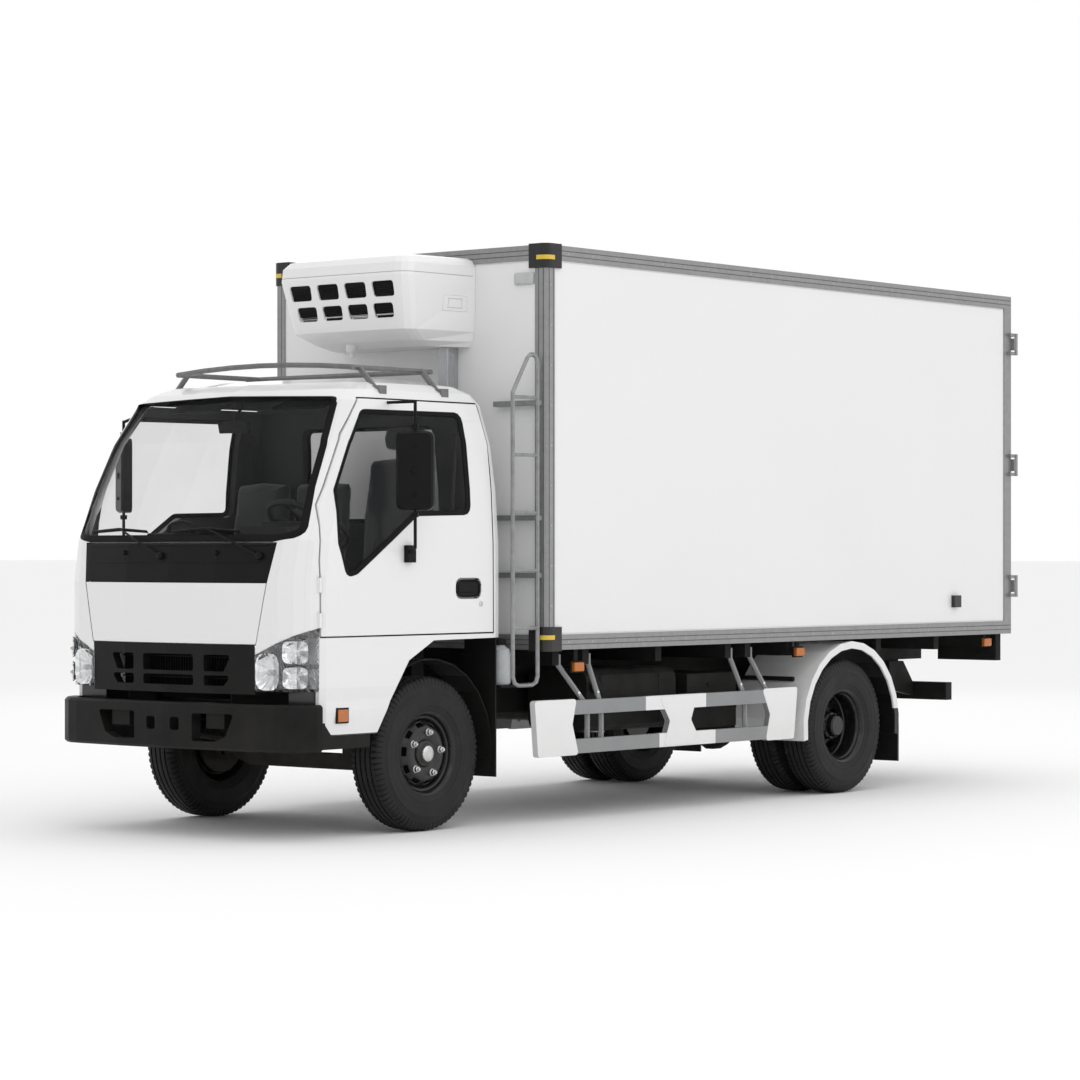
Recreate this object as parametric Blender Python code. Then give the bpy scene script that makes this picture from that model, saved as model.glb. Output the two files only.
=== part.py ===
"""Light cab over refrigerated truck with twin rear wheels, as separate solids with real joints.

Everything is modelled in truck axes: the origin lies on the ground under the front axle's centre,
+Y runs back along the truck, +X points to its left side and +Z up. One empty moves the whole truck
so that its own origin lies on the ground under the middle of its length.
"""
import math

import bmesh
import bpy
from mathutils import Matrix, Vector

# Clearances shared by every piece
SEAT_GAP = 0.0003
OVERRUN = 0.05
WELD = 0.00002
FLAT_ANGLE = 0.002

# Main dimensions of the truck
WHEELBASE = 3.360
FRONT_REACH = 1.015
FRONT_TRACK = 1.398
REAR_TRACK = 1.425
DUAL_SPACING = 0.230

# Tyres and rims
TYRE_RADIUS = 0.375
TYRE_WIDTH = 0.194
TYRE_SEGMENTS = 24
BEAD_RADIUS = 0.1905
RIM_WIDTH = 0.150
RIM_WALL = 0.010
RIM_FLANGE = 0.0135
RIM_LIP = 0.006
RIM_SEGMENTS = 16
HUB_RADIUS = 0.062
HUB_CAP_RADIUS = 0.042
FRONT_DISC_REACH = 0.062
REAR_DISC_SETBACK = 0.020
HUB_CAP_LENGTH = 0.030
DISC_RADIUS = 0.140
DRUM_RADIUS = 0.125

# Axles, knuckles and springs
SPINDLE_RADIUS = 0.024
KINGPIN_SETBACK = 0.139
KINGPIN_X = FRONT_TRACK / 2 - KINGPIN_SETBACK
KINGPIN_RADIUS = 0.020
KINGPIN_BOSS_RADIUS = 0.034
KINGPIN_BOSS_HEIGHT = 0.110
KNUCKLE_ARM = 0.026
BRAKE_PLATE_RADIUS = 0.150
BRAKE_PLATE_WIDTH = 0.014
BEAM_WIDTH = 0.070
BEAM_HEIGHT = 0.076
BEAM_DROP = 0.060
AXLE_TUBE_RADIUS = 0.052
DIFFERENTIAL_RADIUS = 0.165
DIFFERENTIAL_WIDTH = 0.250
SPRING_WIDTH = 0.066
SPRING_LEAF = 0.012
FRONT_SPRING_X = 0.318
FRONT_SPRING_LENGTH = 1.120
FRONT_SPRING_LEAVES = 3
REAR_SPRING_GAP = 0.0625
REAR_SPRING_X = (REAR_TRACK - DUAL_SPACING - TYRE_WIDTH - SPRING_WIDTH) / 2 - REAR_SPRING_GAP
REAR_SPRING_LENGTH = 1.300
REAR_SPRING_LEAVES = 5
SPRING_RISE = 0.050
SPRING_EYE_RADIUS = 0.022
SPRING_PAD_HEIGHT = 0.030

# Chassis frame
FRAME_WIDTH = 0.700
FRAME_TOP = 0.700
RAIL_HEIGHT = 0.180
RAIL_FLANGE = 0.060
RAIL_WALL = 0.007
FRAME_SETBACK = 0.115
FRAME_FRONT = FRONT_REACH - FRAME_SETBACK
FRAME_REAR = 4.760
CROSS_TUBE_RADIUS = 0.035
HANGER_WIDTH = 0.056
HANGER_LENGTH = 0.050
CAB_MOUNT_WIDTH = 0.090

# Drive line
ENGINE_WIDTH = 0.520
ENGINE_FRONT = 0.300
ENGINE_REAR = 0.420
ENGINE_BOTTOM = 0.450
ENGINE_TOP = 0.860
GEARBOX_LENGTH = 0.560
GEARBOX_RADIUS = 0.150
PROPSHAFT_RADIUS = 0.038
DRIVE_LINE_Z = 0.530
ENGINE_LUG = 0.060

# Cab body
CAB_WIDTH = 1.690
BUMPER_LEAD = 0.030
CAB_FRONT = FRONT_REACH - BUMPER_LEAD
CAB_REAR = 0.490
CAB_BOTTOM = 0.460
CAB_ROOF = 2.190
CAB_WALL = 0.048
CAB_CORNER = 0.250
CAB_REAR_CORNER = 0.060
CAB_BOW = 0.045
CAB_FLOOR_Z = 0.760
CAB_REAR_FLOOR_Z = 0.932
CAB_STEP_INSIDE = 0.620
CAB_FLOOR_STEP = 0.335
ARCH_RADIUS = 0.460
ARCH_LINER = 0.005
STEP_DROP = 0.062
PANEL_DEPTH = 0.022
SEAM = 0.004
SHELL_LEDGE = 0.014
GLASS = 0.006
GLASS_INSET = 0.004

# Cab doors
DOOR_SEAM = 0.007
HINGE_SETBACK = 0.0015
HINGE_PIN_RADIUS = 0.005
HINGE_PIN_LENGTH = 0.070
HINGE_PIN_SIDES = 8
HINGE_NOTCH = 0.0009
HANDLE_DEPTH = 0.028
HANDLE_LENGTH = 0.190
HANDLE_HEIGHT = 0.102
HANDLE_Y = 0.228
HANDLE_Z = 1.172

# Front of the cab
LAMP_WIDTH = 0.300
GRILLE_HALF_WIDTH = CAB_WIDTH / 2 - LAMP_WIDTH
GRILLE_BOTTOM = 0.684
GRILLE_TOP = 0.915
LAMP_DEPTH = 0.066
LAMP_BOTTOM = 0.700
BUMPER_OVERHANG = 0.003
BUMPER_HALF_WIDTH = CAB_WIDTH / 2 + BUMPER_OVERHANG
BUMPER_CORNER = 0.220
BUMPER_BOW = 0.030
BUMPER_BOTTOM = 0.420
BUMPER_TOP = 0.640
BUMPER_THICKNESS = 0.060
BUMPER_DEPTH = 0.215
BUMPER_REAR = FRONT_REACH - BUMPER_DEPTH
BUMPER_EDGE = 0.012

# Mirrors
MIRROR_REACH = 0.095
MIRROR_X = CAB_WIDTH / 2 + MIRROR_REACH
MIRROR_ARM_INSET = 0.135
MIRROR_ROD_RADIUS = 0.008
MIRROR_WIDTH = 0.180
MIRROR_HEIGHT = 0.375
MIRROR_DEPTH = 0.055
MIRROR_TURN = 33.0
MIRROR_CENTRE_Z = 1.735
MIRROR_ROD_TOP = 2.070
MIRROR_ROD_BOTTOM = 1.365
MIRROR_LEFT_Y = 0.268
MIRROR_RIGHT_Y = 0.380
MIRROR_FOOT_Z = 1.340
MIRROR_FOOT = 0.055

# Roof rack
RACK_TUBE_RADIUS = 0.014
RACK_FRONT_Y = 0.330
RACK_REAR_Y = 0.230
RACK_INSET = 0.245
RACK_HALF_WIDTH = CAB_WIDTH / 2 - RACK_INSET
RACK_Z = 2.235
RACK_FRONT_RISE = 0.025
RACK_FOOT_INSET = 0.130
RACK_FOOT_X = CAB_WIDTH / 2 - RACK_FOOT_INSET
RACK_FOOT_Z = 2.120
RACK_FOOT = 0.050

# Inside of the cab
DASH_DEPTH = 0.420
DASH_END_GAP = 0.048
DASH_HOOD_WIDTH = 0.400
DASH_HOOD_TOP_WIDTH = 0.300
DASH_TOP_Z = 1.425
DASH_FLOOR_Z = 1.050
STEERING_WHEEL_RADIUS = 0.205
STEERING_RIM_RADIUS = 0.015
STEERING_INSET = 0.455
STEERING_X = CAB_WIDTH / 2 - STEERING_INSET
STEERING_Y = 0.420
STEERING_Z = 1.480
STEERING_TILT = 32.0
STEERING_COLUMN_RADIUS = 0.022
SEAT_HEIGHT = 1.210
SEAT_FRONT_Y = 0.330
SEAT_BACK_Y = 0.330
SEAT_BACK_TOP = 1.860
SEAT_BACK_DEPTH = 0.110
DRIVER_SEAT_WIDTH = 0.520
PASSENGER_SEAT_INSET = 0.075
SEAT_SIDE_GAP = 0.060
SEAT_CORNER = 0.040
PASSENGER_SEAT_WIDTH = CAB_WIDTH / 2 - PASSENGER_SEAT_INSET + STEERING_X - DRIVER_SEAT_WIDTH / 2 - SEAT_SIDE_GAP

# Insulated box
BOX_WIDTH = 1.880
BOX_FRONT_Y = 0.710
BOX_REAR_Y = 5.090
BOX_BOTTOM = 0.860
BOX_TOP = 2.880
BOX_WALL = 0.075
RAIL_FACE = 0.076
RAIL_SHEET = 0.006
BOX_CORNER = 0.036
REAR_FRAME_DEPTH = 0.077
REAR_POST_WIDTH = 0.050
BOX_DOOR_DEPTH = 0.060
BOX_DOOR_SEAM = 0.006
BOX_DOOR_MIDDLE = 0.010
BOX_HINGE_OUT = 0.022
BOX_HINGE_BACK = 0.022
BOX_HINGE_RADIUS = 0.010
BOX_HINGE_HEIGHT = 0.090
BOX_HINGE_STRAP = 0.004
BOX_HINGE_REACH = 0.190
BOX_HINGE_PIN_RADIUS = 0.005
BOX_HINGE_PLAY = 0.0008
LOCK_ROD_RADIUS = 0.011
LOCK_ROD_STANDOFF = 0.016
CATCH_REACH = 0.020
CATCH_DISTANCE = 0.620
CATCH_HEIGHT = 0.200
CATCH_SIZE = 0.070
CAP_HEIGHT = 0.115
CAP_REACH = 0.075
CAP_SHEET = 0.007

# Frame under the box
SUBFRAME_WIDTH = 0.060
BEARER_HEIGHT = 0.080
BEARER_WIDTH = 0.050

# Refrigeration unit, evaporator, duct and ladder
UNIT_HALF_WIDTH = 0.470
UNIT_DEPTH = 0.500
UNIT_BOTTOM = 2.385
UNIT_TOP = 2.835
UNIT_CORNER = 0.070
UNIT_VENT_DEPTH = 0.060
UNIT_VENT_COLUMNS = 4
EVAPORATOR_WIDTH = 1.100
EVAPORATOR_DEPTH = 0.420
EVAPORATOR_HEIGHT = 0.190
DUCT_WIDTH = 0.068
DUCT_DEPTH = 0.086
DUCT_X = 0.320
DUCT_BOTTOM = 0.960
LADDER_X = 0.905
LADDER_WIDTH = 0.190
LADDER_TUBE_RADIUS = 0.011
LADDER_BACK_GAP = 0.030
LADDER_TOP = 2.330
LADDER_BOTTOM = 0.690
LADDER_RUNG_TOP = 2.115
LADDER_RUNG_PITCH = 0.286
LADDER_RUNG_COUNT = 5
LADDER_BRACKET_RUNGS = (0, 2, 3)
LADDER_BRACKET_LENGTH = 0.285
LADDER_BRACKET_HEIGHT = 0.026

# Pieces below the box
GUARD_X = 0.905
GUARD_RAIL_HEIGHT = 0.072
GUARD_RAIL_DEPTH = 0.030
GUARD_UPPER_Z = 0.566
GUARD_LOWER_Z = 0.370
GUARD_FRONT_Y = 0.640
GUARD_REAR_Y = 2.895
GUARD_PANEL_LENGTH = 0.330
GUARD_STRUT_RADIUS = 0.014
FENDER_RADIUS = 0.474
FENDER_SHEET = 0.012
FENDER_LIP = 0.040
FENDER_WIDTH = 0.470
FENDER_OUTSIDE = 0.940
FENDER_SHIFT = 0.040
STAY_SIDES = 6
FLAP_THICKNESS = 0.010
FLAP_BOTTOM = 0.155
TANK_FRONT_Y = 1.200
TANK_LENGTH = 0.750
TANK_INSIDE_X = 0.410
TANK_WIDTH = 0.390
TANK_HEIGHT = 0.320
TANK_TOP = 0.745
TANK_CORNER = 0.060
BATTERY_FRONT_Y = 2.050
BATTERY_LENGTH = 0.440
BATTERY_HEIGHT = 0.290
BATTERY_TOP = 0.700
MUFFLER_RADIUS = 0.105
MUFFLER_LENGTH = 0.620
MUFFLER_FRONT_Y = 1.780
MUFFLER_X = 0.560
MUFFLER_Z = 0.560
PIPE_RADIUS = 0.028
EXHAUST_DROP = 0.130
UNDERRUN_HALF_WIDTH = 0.620
UNDERRUN_Y = 4.900
UNDERRUN_Z = 0.512
UNDERRUN_SIZE = 0.106
LAMP_BAR_INSIDE = 0.490
LAMP_BAR_OUTSIDE = 0.900
LAMP_BAR_Y = 4.980
LAMP_BAR_BOTTOM = 0.700
LAMP_BAR_DEPTH = 0.055
ARCH_FLAP_BOTTOM = 0.240

# The whole length, from the bumper to the hinge barrels of the rear doors
REAR_REACH = BOX_REAR_Y + BOX_HINGE_BACK + BOX_HINGE_RADIUS
FRONT_AXLE_Y = (FRONT_REACH - REAR_REACH) / 2
CAB_LENGTH = CAB_FRONT + CAB_REAR
CAB_HEIGHT = CAB_ROOF - CAB_BOTTOM
FRAME_BOTTOM = FRAME_TOP - RAIL_HEIGHT


# Materials

def material(name, colour, roughness, metallic=0.0, transmission=0.0):
    """A Principled material of one colour."""
    made = bpy.data.materials.new(name)
    made.use_nodes = True
    shader = made.node_tree.nodes["Principled BSDF"]
    shader.inputs["Base Color"].default_value = (*colour, 1.0)
    shader.inputs["Roughness"].default_value = roughness
    shader.inputs["Metallic"].default_value = metallic
    shader.inputs["Transmission Weight"].default_value = transmission
    made.diffuse_color = (*colour, 1.0)
    return made


def all_materials():
    """The truck's materials by name."""
    return {
        "white_paint": material("white_paint", (0.86, 0.87, 0.88), 0.25),
        "panel_white": material("panel_white", (0.84, 0.85, 0.86), 0.40),
        "aluminium": material("aluminium", (0.55, 0.56, 0.57), 0.35, 0.9),
        "galvanised": material("galvanised", (0.50, 0.51, 0.52), 0.45, 0.8),
        "black_paint": material("black_paint", (0.03, 0.03, 0.03), 0.50),
        "black_plastic": material("black_plastic", (0.045, 0.045, 0.045), 0.55),
        "tyre_rubber": material("tyre_rubber", (0.03, 0.03, 0.03), 0.85),
        "cast_metal": material("cast_metal", (0.10, 0.10, 0.10), 0.60, 0.5),
        "clear_glass": material("clear_glass", (0.60, 0.64, 0.64), 0.05, 0.0, 0.8),
        "lamp_glass": material("lamp_glass", (0.80, 0.82, 0.84), 0.08, 0.3, 0.4),
        "grey_fabric": material("grey_fabric", (0.32, 0.33, 0.34), 0.90),
        "grey_plastic": material("grey_plastic", (0.14, 0.14, 0.15), 0.60),
    }


# Meshes from bmesh

def finished(shape, turn_faces=True):
    """The bmesh as a clean mesh, with its faces turned out unless a Boolean has already done so."""
    bmesh.ops.remove_doubles(shape, verts=shape.verts, dist=WELD)
    bmesh.ops.dissolve_degenerate(shape, dist=WELD, edges=shape.edges)
    bmesh.ops.dissolve_limit(shape, angle_limit=FLAT_ANGLE, verts=shape.verts, edges=shape.edges)
    if turn_faces:
        bmesh.ops.recalc_face_normals(shape, faces=shape.faces)
    mesh = bpy.data.meshes.new("solid")
    shape.to_mesh(mesh)
    shape.free()
    return mesh


def loft(rings):
    """A closed solid through rings with the same number of points, with a cap on each end."""
    shape = bmesh.new()
    rows = [[shape.verts.new(point) for point in ring] for ring in rings]
    count = len(rows[0])
    for lower, upper in zip(rows, rows[1:]):
        for index in range(count):
            following = (index + 1) % count
            shape.faces.new((lower[index], lower[following], upper[following], upper[index]))
    shape.faces.new(list(reversed(rows[0])))
    shape.faces.new(rows[-1])
    return finished(shape)


def placed(axis, along, first, second):
    """A point from a place along an axis and two places across it."""
    if axis == "X":
        return (along, first, second)
    if axis == "Y":
        return (first, along, second)
    return (first, second, along)


def prism(outline, axis, low, high):
    """An outline across an axis, drawn out along it between two places."""
    return loft([[placed(axis, along, *point) for point in outline] for along in (low, high)])


def block(low, high):
    """A rectangular block between two corners."""
    outline = [(low[0], low[1]), (high[0], low[1]), (high[0], high[1]), (low[0], high[1])]
    return prism(outline, "Z", low[2], high[2])


def centred(centre, size):
    """A rectangular block by its centre and size."""
    low = [middle - full / 2 for middle, full in zip(centre, size)]
    high = [middle + full / 2 for middle, full in zip(centre, size)]
    return block(low, high)


def circle(centre, radius, sides, start=0.0):
    """Points round a circle in two dimensions."""
    turn = math.tau / sides
    return [(centre[0] + radius * math.cos(start + turn * k), centre[1] + radius * math.sin(start + turn * k))
            for k in range(sides)]


def rod(axis, centre, radius, low, high, sides=16):
    """A round bar along an axis."""
    return prism(circle(centre, radius, sides), axis, low, high)


def turned(profile, axis, centre, segments):
    """A closed profile of radius and place along an axis, turned about it."""
    shape = bmesh.new()
    rows = []
    for step in range(segments):
        angle = math.tau * step / segments
        row = []
        for radius, along in profile:
            first = centre[0] + radius * math.cos(angle)
            second = centre[1] + radius * math.sin(angle)
            row.append(shape.verts.new(placed(axis, along, first, second)))
        rows.append(row)
    count = len(profile)
    for step in range(segments):
        near = rows[step]
        far = rows[(step + 1) % segments]
        for index in range(count):
            following = (index + 1) % count
            shape.faces.new((near[index], near[following], far[following], far[index]))
    return finished(shape)


def solid_turned(profile, axis, centre, segments):
    """A turned solid whose open profile starts and ends on the axis."""
    rings = []
    for radius, along in profile:
        points = circle(centre, radius, segments)
        rings.append([placed(axis, along, *point) for point in points])
    return loft(rings)


def pipe(points, radius, sides=6, closed=False):
    """A round tube that follows points, with mitred bends."""
    places = [Vector(point) for point in points]
    count = len(places)
    shape = bmesh.new()
    rows = []
    side = None
    for index, place in enumerate(places):
        before = places[index - 1] if index > 0 or closed else None
        after = places[(index + 1) % count] if index < count - 1 or closed else None
        arriving = (place - before).normalized() if before is not None else (after - place).normalized()
        leaving = (after - place).normalized() if after is not None else arriving
        tangent = (arriving + leaving).normalized()
        if side is None:
            upward = Vector((0, 0, 1)) if abs(tangent.z) < abs(tangent.x) + abs(tangent.y) else Vector((1, 0, 0))
            side = tangent.cross(upward).normalized()
        side = (side - tangent * side.dot(tangent)).normalized()
        other = tangent.cross(side)
        stretch = 1.0 / max(tangent.dot(arriving), 0.5)
        bend = leaving - arriving
        bend = bend.normalized() if bend.length > WELD else side
        row = []
        for first, second in circle((0.0, 0.0), radius, sides):
            offset = side * first + other * second
            offset += bend * offset.dot(bend) * (stretch - 1.0)
            row.append(shape.verts.new(place + offset))
        rows.append(row)
    spans = count if closed else count - 1
    for step in range(spans):
        near = rows[step]
        far = rows[(step + 1) % count]
        for index in range(sides):
            following = (index + 1) % sides
            shape.faces.new((near[index], near[following], far[following], far[index]))
    if not closed:
        shape.faces.new(list(reversed(rows[0])))
        shape.faces.new(rows[-1])
    return finished(shape)


def arc(centre, radius, start, end, steps):
    """Points along an arc in two dimensions, with its angles in degrees."""
    points = []
    for step in range(steps + 1):
        angle = math.radians(start + (end - start) * step / steps)
        points.append((centre[0] + radius * math.cos(angle), centre[1] + radius * math.sin(angle)))
    return points


def rounded(outline, radius, steps=3):
    """The outline with each corner replaced by an arc."""
    result = []
    count = len(outline)
    for index, point in enumerate(outline):
        corner = Vector(point)
        before = (Vector(outline[index - 1]) - corner)
        after = (Vector(outline[(index + 1) % count]) - corner)
        half = before.angle(after) / 2
        reach = min(radius / math.tan(half), before.length * 0.45, after.length * 0.45)
        true_radius = reach * math.tan(half)
        middle = (before.normalized() + after.normalized()).normalized()
        centre = corner + middle * (true_radius / math.sin(half))
        start = corner + before.normalized() * reach - centre
        end = corner + after.normalized() * reach - centre
        sweep = start.angle_signed(end)
        for step in range(steps + 1):
            turn = Matrix.Rotation(-sweep * step / steps, 2)
            spot = centre + turn @ start
            result.append((spot.x, spot.y))
    return result


def grown(outline, distance):
    """The outline moved out by a distance, or in where it is negative."""
    area = sum(a[0] * b[1] - b[0] * a[1] for a, b in zip(outline, outline[1:] + outline[:1]))
    sign = 1.0 if area > 0 else -1.0
    result = []
    count = len(outline)
    for index, point in enumerate(outline):
        corner = Vector(point)
        into = (corner - Vector(outline[index - 1])).normalized()
        out = (Vector(outline[(index + 1) % count]) - corner).normalized()
        first = Vector((into.y, -into.x)) * sign
        second = Vector((out.y, -out.x)) * sign
        middle = (first + second).normalized()
        spot = corner + middle * (distance / middle.dot(first))
        result.append((spot.x, spot.y))
    return result


def shifted(mesh, offset):
    """The mesh moved by an offset."""
    mesh.transform(Matrix.Translation(offset))
    return mesh


def rotated(mesh, degrees, axis, centre):
    """The mesh turned about an axis through a centre."""
    about = Matrix.Translation(centre) @ Matrix.Rotation(math.radians(degrees), 4, axis)
    mesh.transform(about @ Matrix.Translation(-Vector(centre)))
    return mesh


# Boolean work with the exact solver, applied at once

def boolean(base, tools, operation):
    """The base mesh after one Boolean with each tool in turn."""
    scene = bpy.context.scene.collection
    body = bpy.data.objects.new("body", base)
    scene.objects.link(body)
    helpers = []
    for tool in tools:
        helper = bpy.data.objects.new("tool", tool)
        scene.objects.link(helper)
        helpers.append(helper)
        modifier = body.modifiers.new("cut", "BOOLEAN")
        modifier.operation = operation
        modifier.solver = "EXACT"
        modifier.object = helper
    evaluated = body.evaluated_get(bpy.context.evaluated_depsgraph_get())
    result = bpy.data.meshes.new_from_object(evaluated)
    for helper in helpers + [body]:
        bpy.data.objects.remove(helper)
    shape = bmesh.new()
    shape.from_mesh(result)
    return finished(shape, turn_faces=False)


def fused(*meshes):
    """One solid from meshes that overlap."""
    return boolean(meshes[0], meshes[1:], "UNION")


def cut(base, *tools):
    """The base less each tool."""
    return boolean(base, tools, "DIFFERENCE")


def common(base, *tools):
    """What the base shares with every tool."""
    return boolean(base, tools, "INTERSECT")


# Objects

def empty(name, parent, place):
    """An empty at a place in truck axes."""
    made = bpy.data.objects.new(name, None)
    bpy.context.scene.collection.objects.link(made)
    made.parent = parent
    made["place"] = place
    made.location = Vector(place) - (Vector(parent["place"]) if parent else Vector())
    return made


def piece(name, mesh, finish, parent, origin=(0.0, 0.0, 0.0)):
    """An object of the truck with its own origin in truck axes, parented to an empty."""
    mesh.transform(Matrix.Translation(-Vector(origin)))
    mesh.name = name
    mesh.materials.clear()
    mesh.materials.append(finish)
    mesh.shade_smooth()
    mesh.set_sharp_from_angle(angle=math.radians(32))
    made = bpy.data.objects.new(name, mesh)
    bpy.context.scene.collection.objects.link(made)
    made.parent = parent
    made.location = Vector(origin) - Vector(parent["place"])
    return made


# The cab's outer form

# Shares of the cab's length and height where its parts begin
DOOR_FRONT_SHARE = 0.1332
DOOR_BOTTOM_SHARE = 0.287
LID_BOTTOM_SHARE = 0.265
NOSE_TOP_SHARE = 0.263
CAB_FORM_TOP_SHARE = 0.9

# Each section: height, half width, front reach, rear reach and front corner, as shares of the cab's
CAB_SECTION_SHARES = (
    (0.000, 0.972, 0.975, 0.96, 0.92),
    (0.085, 0.996, 0.995, 0.98, 1.00),
    (0.270, 1.000, 1.000, 1.00, 1.00),
    (0.430, 1.000, 1.000, 1.00, 1.00),
    (0.545, 0.998, 0.965, 1.00, 0.94),
    (0.690, 0.984, 0.845, 0.985, 0.80),
    (0.820, 0.955, 0.722, 0.955, 0.66),
    (0.930, 0.902, 0.598, 0.905, 0.60),
    (0.962, 0.860, 0.530, 0.840, 0.60),
    (0.984, 0.780, 0.440, 0.740, 0.56),
    (1.000, 0.600, 0.280, 0.560, 0.48),
)
ROOF_LEAN_SHARE = 0.8
CAB_CORNER_STEPS = 5
CAB_REAR_CORNER_STEPS = 2
CAB_BOW_STEPS = 4


def cab_ring(half_width, front, rear, corner, rear_corner, bow):
    """One level outline of the cab: straight sides and rear, round corners and a bowed front."""
    points = []
    points += arc((half_width - rear_corner, rear - rear_corner), rear_corner, 0, 90, CAB_REAR_CORNER_STEPS)
    points += arc((-half_width + rear_corner, rear - rear_corner), rear_corner, 90, 180, CAB_REAR_CORNER_STEPS)
    shoulder = half_width - corner
    corner_y = -front + bow + corner
    points += arc((-shoulder, corner_y), corner, 180, 270, CAB_CORNER_STEPS)
    for step in range(1, CAB_BOW_STEPS):
        across = -1.0 + 2.0 * step / CAB_BOW_STEPS
        points.append((across * shoulder, -front + bow * across ** 2))
    points += arc((shoulder, corner_y), corner, 270, 360, CAB_CORNER_STEPS)
    return points


def cab_form(inset=0.0):
    """The cab's closed outer form, or one that lies inside it by an inset."""
    rings = []
    for height, width, front, rear, corner in CAB_SECTION_SHARES:
        level = CAB_BOTTOM + height * CAB_HEIGHT
        level += inset if height == 0 else (-inset if height == 1 else 0.0)
        outline = cab_ring(
            CAB_WIDTH / 2 * width - inset,
            CAB_FRONT * front - inset,
            CAB_REAR * rear - inset,
            max(CAB_CORNER * corner - inset, CAB_REAR_CORNER / 2),
            max(CAB_REAR_CORNER - inset, CAB_REAR_CORNER / 4),
            CAB_BOW,
        )
        near_top = max(0.0, height - CAB_FORM_TOP_SHARE) / (1.0 - CAB_FORM_TOP_SHARE)
        lean = inset * ROOF_LEAN_SHARE * near_top if height < 1 else 0.0
        rings.append([(x, y, level - lean) for x, y in outline])
    return loft(rings)


def side_outline(shares):
    """Points of a side view, from shares of the cab's length and height."""
    return [(-CAB_FRONT + along * CAB_LENGTH, CAB_BOTTOM + up * CAB_HEIGHT) for along, up in shares]


def front_outline(shares):
    """Points of a front view, from shares of the cab's half width and height."""
    return [(across * CAB_WIDTH / 2, CAB_BOTTOM + up * CAB_HEIGHT) for across, up in shares]


def both_sides(shares):
    """A front view whose points on one side are repeated on the other."""
    return list(shares) + [(-across, up) for across, up in reversed(shares) if across != 0]


# Views of the cab's openings, as shares: length and height from the side, half width and height from the front
DOOR_SHARES = (
    (DOOR_FRONT_SHARE, DOOR_BOTTOM_SHARE), (DOOR_FRONT_SHARE, 0.490), (0.150, 0.640), (0.266, 0.832),
    (0.362, 0.934), (0.925, 0.934), (0.945, 0.832), (0.946, DOOR_BOTTOM_SHARE),
)
WINDOW_SHARES = (
    (0.1966, 0.538), (0.2000, 0.682), (0.280, 0.815), (0.356, 0.905), (0.8400, 0.908),
    (0.8400, 0.618), (0.5760, 0.613), (0.2880, 0.454), (0.2340, 0.443),
)
SCREEN_SHARES = ((0.730, 0.541), (0.905, 0.555), (0.862, 0.803), (0.800, 0.938), (0.000, 0.948))
COWL_SHARES = ((0.760, 0.538), (0.723, 0.432))
LID_SHARES = ((0.722, 0.430), (0.650, LID_BOTTOM_SHARE))
COWL_AND_LID_SHARES = ((0.760, 0.538), (0.723, 0.430), (0.650, LID_BOTTOM_SHARE))
REAR_WINDOW_SHARES = ((0.560, 0.600), (0.530, 0.880))
# The nose's upper edge rises from the grille over each lamp
NOSE_SHARES = ((0.645, NOSE_TOP_SHARE), (0.650, 0.238), (1.080, 0.335), (1.080, -0.100))
UNDERSIDE_SHARES = (
    (-0.300, -0.200), (-0.300, 0.116), (0.128, 0.116), (0.128, 0.018), (0.388, 0.018),
    (0.440, 0.106), (0.530, 0.215), (0.650, 0.268), (1.300, 0.273), (1.300, -0.200),
)


def through_side(shares, inset, side=1.0):
    """A cutter with an outline seen from the side, on one side of the cab."""
    outline = rounded(grown(side_outline(shares), -inset), CAB_WALL)
    outside = CAB_WIDTH / 2 + OVERRUN
    inside = CAB_WIDTH / 4
    return prism(outline, "X", min(side * inside, side * outside), max(side * inside, side * outside))


def through_front(shares, inset, depth, radius=CAB_WALL):
    """A cutter with an outline seen from the front, from before the cab to a depth behind its front."""
    outline = rounded(grown(front_outline(both_sides(shares)), -inset), radius)
    return prism(outline, "Y", -CAB_FRONT - OVERRUN, depth)


def screen_depth():
    """How far back the windscreen's cutter reaches: clear of the door frames' inner side."""
    return -CAB_FRONT * SCREEN_REACH_SHARE


def door_cutter(inset, side):
    """The door's outline as a cutter, with a straight front edge on the hinge line."""
    outline = grown(side_outline(DOOR_SHARES), -inset)
    outside = CAB_WIDTH / 2 + OVERRUN
    inside = CAB_WIDTH / 4
    return prism(outline, "X", min(side * inside, side * outside), max(side * inside, side * outside))


def door_front():
    """The front edge of a cab door."""
    return -CAB_FRONT + DOOR_FRONT_SHARE * CAB_LENGTH


def pillar_edge():
    """The edge of the body in front of a cab door."""
    return door_front() - DOOR_SEAM


def hinge_axis(side):
    """The vertical hinge axis of a cab door, on the body's rounded front corner."""
    y = door_front() - HINGE_SETBACK
    ahead = max(0.0, -CAB_FRONT + CAB_BOW + CAB_CORNER - y)
    x = CAB_WIDTH / 2 - CAB_CORNER + math.sqrt(CAB_CORNER ** 2 - ahead ** 2)
    return (side * x, y)


def hinge_heights():
    """The middles of a cab door's two hinge pins."""
    return [CAB_BOTTOM + share * CAB_HEIGHT for share in HINGE_HEIGHT_SHARES]


HINGE_HEIGHT_SHARES = (0.330, 0.425)


def hinge_pins(side, growth=0.0, length_growth=0.0):
    """The hinge pins, or the notches that clear them."""
    half = HINGE_PIN_LENGTH / 2 + length_growth
    radius = HINGE_PIN_RADIUS + growth
    return [rod("Z", hinge_axis(side), radius, middle - half, middle + half, HINGE_PIN_SIDES)
            for middle in hinge_heights()]


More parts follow.
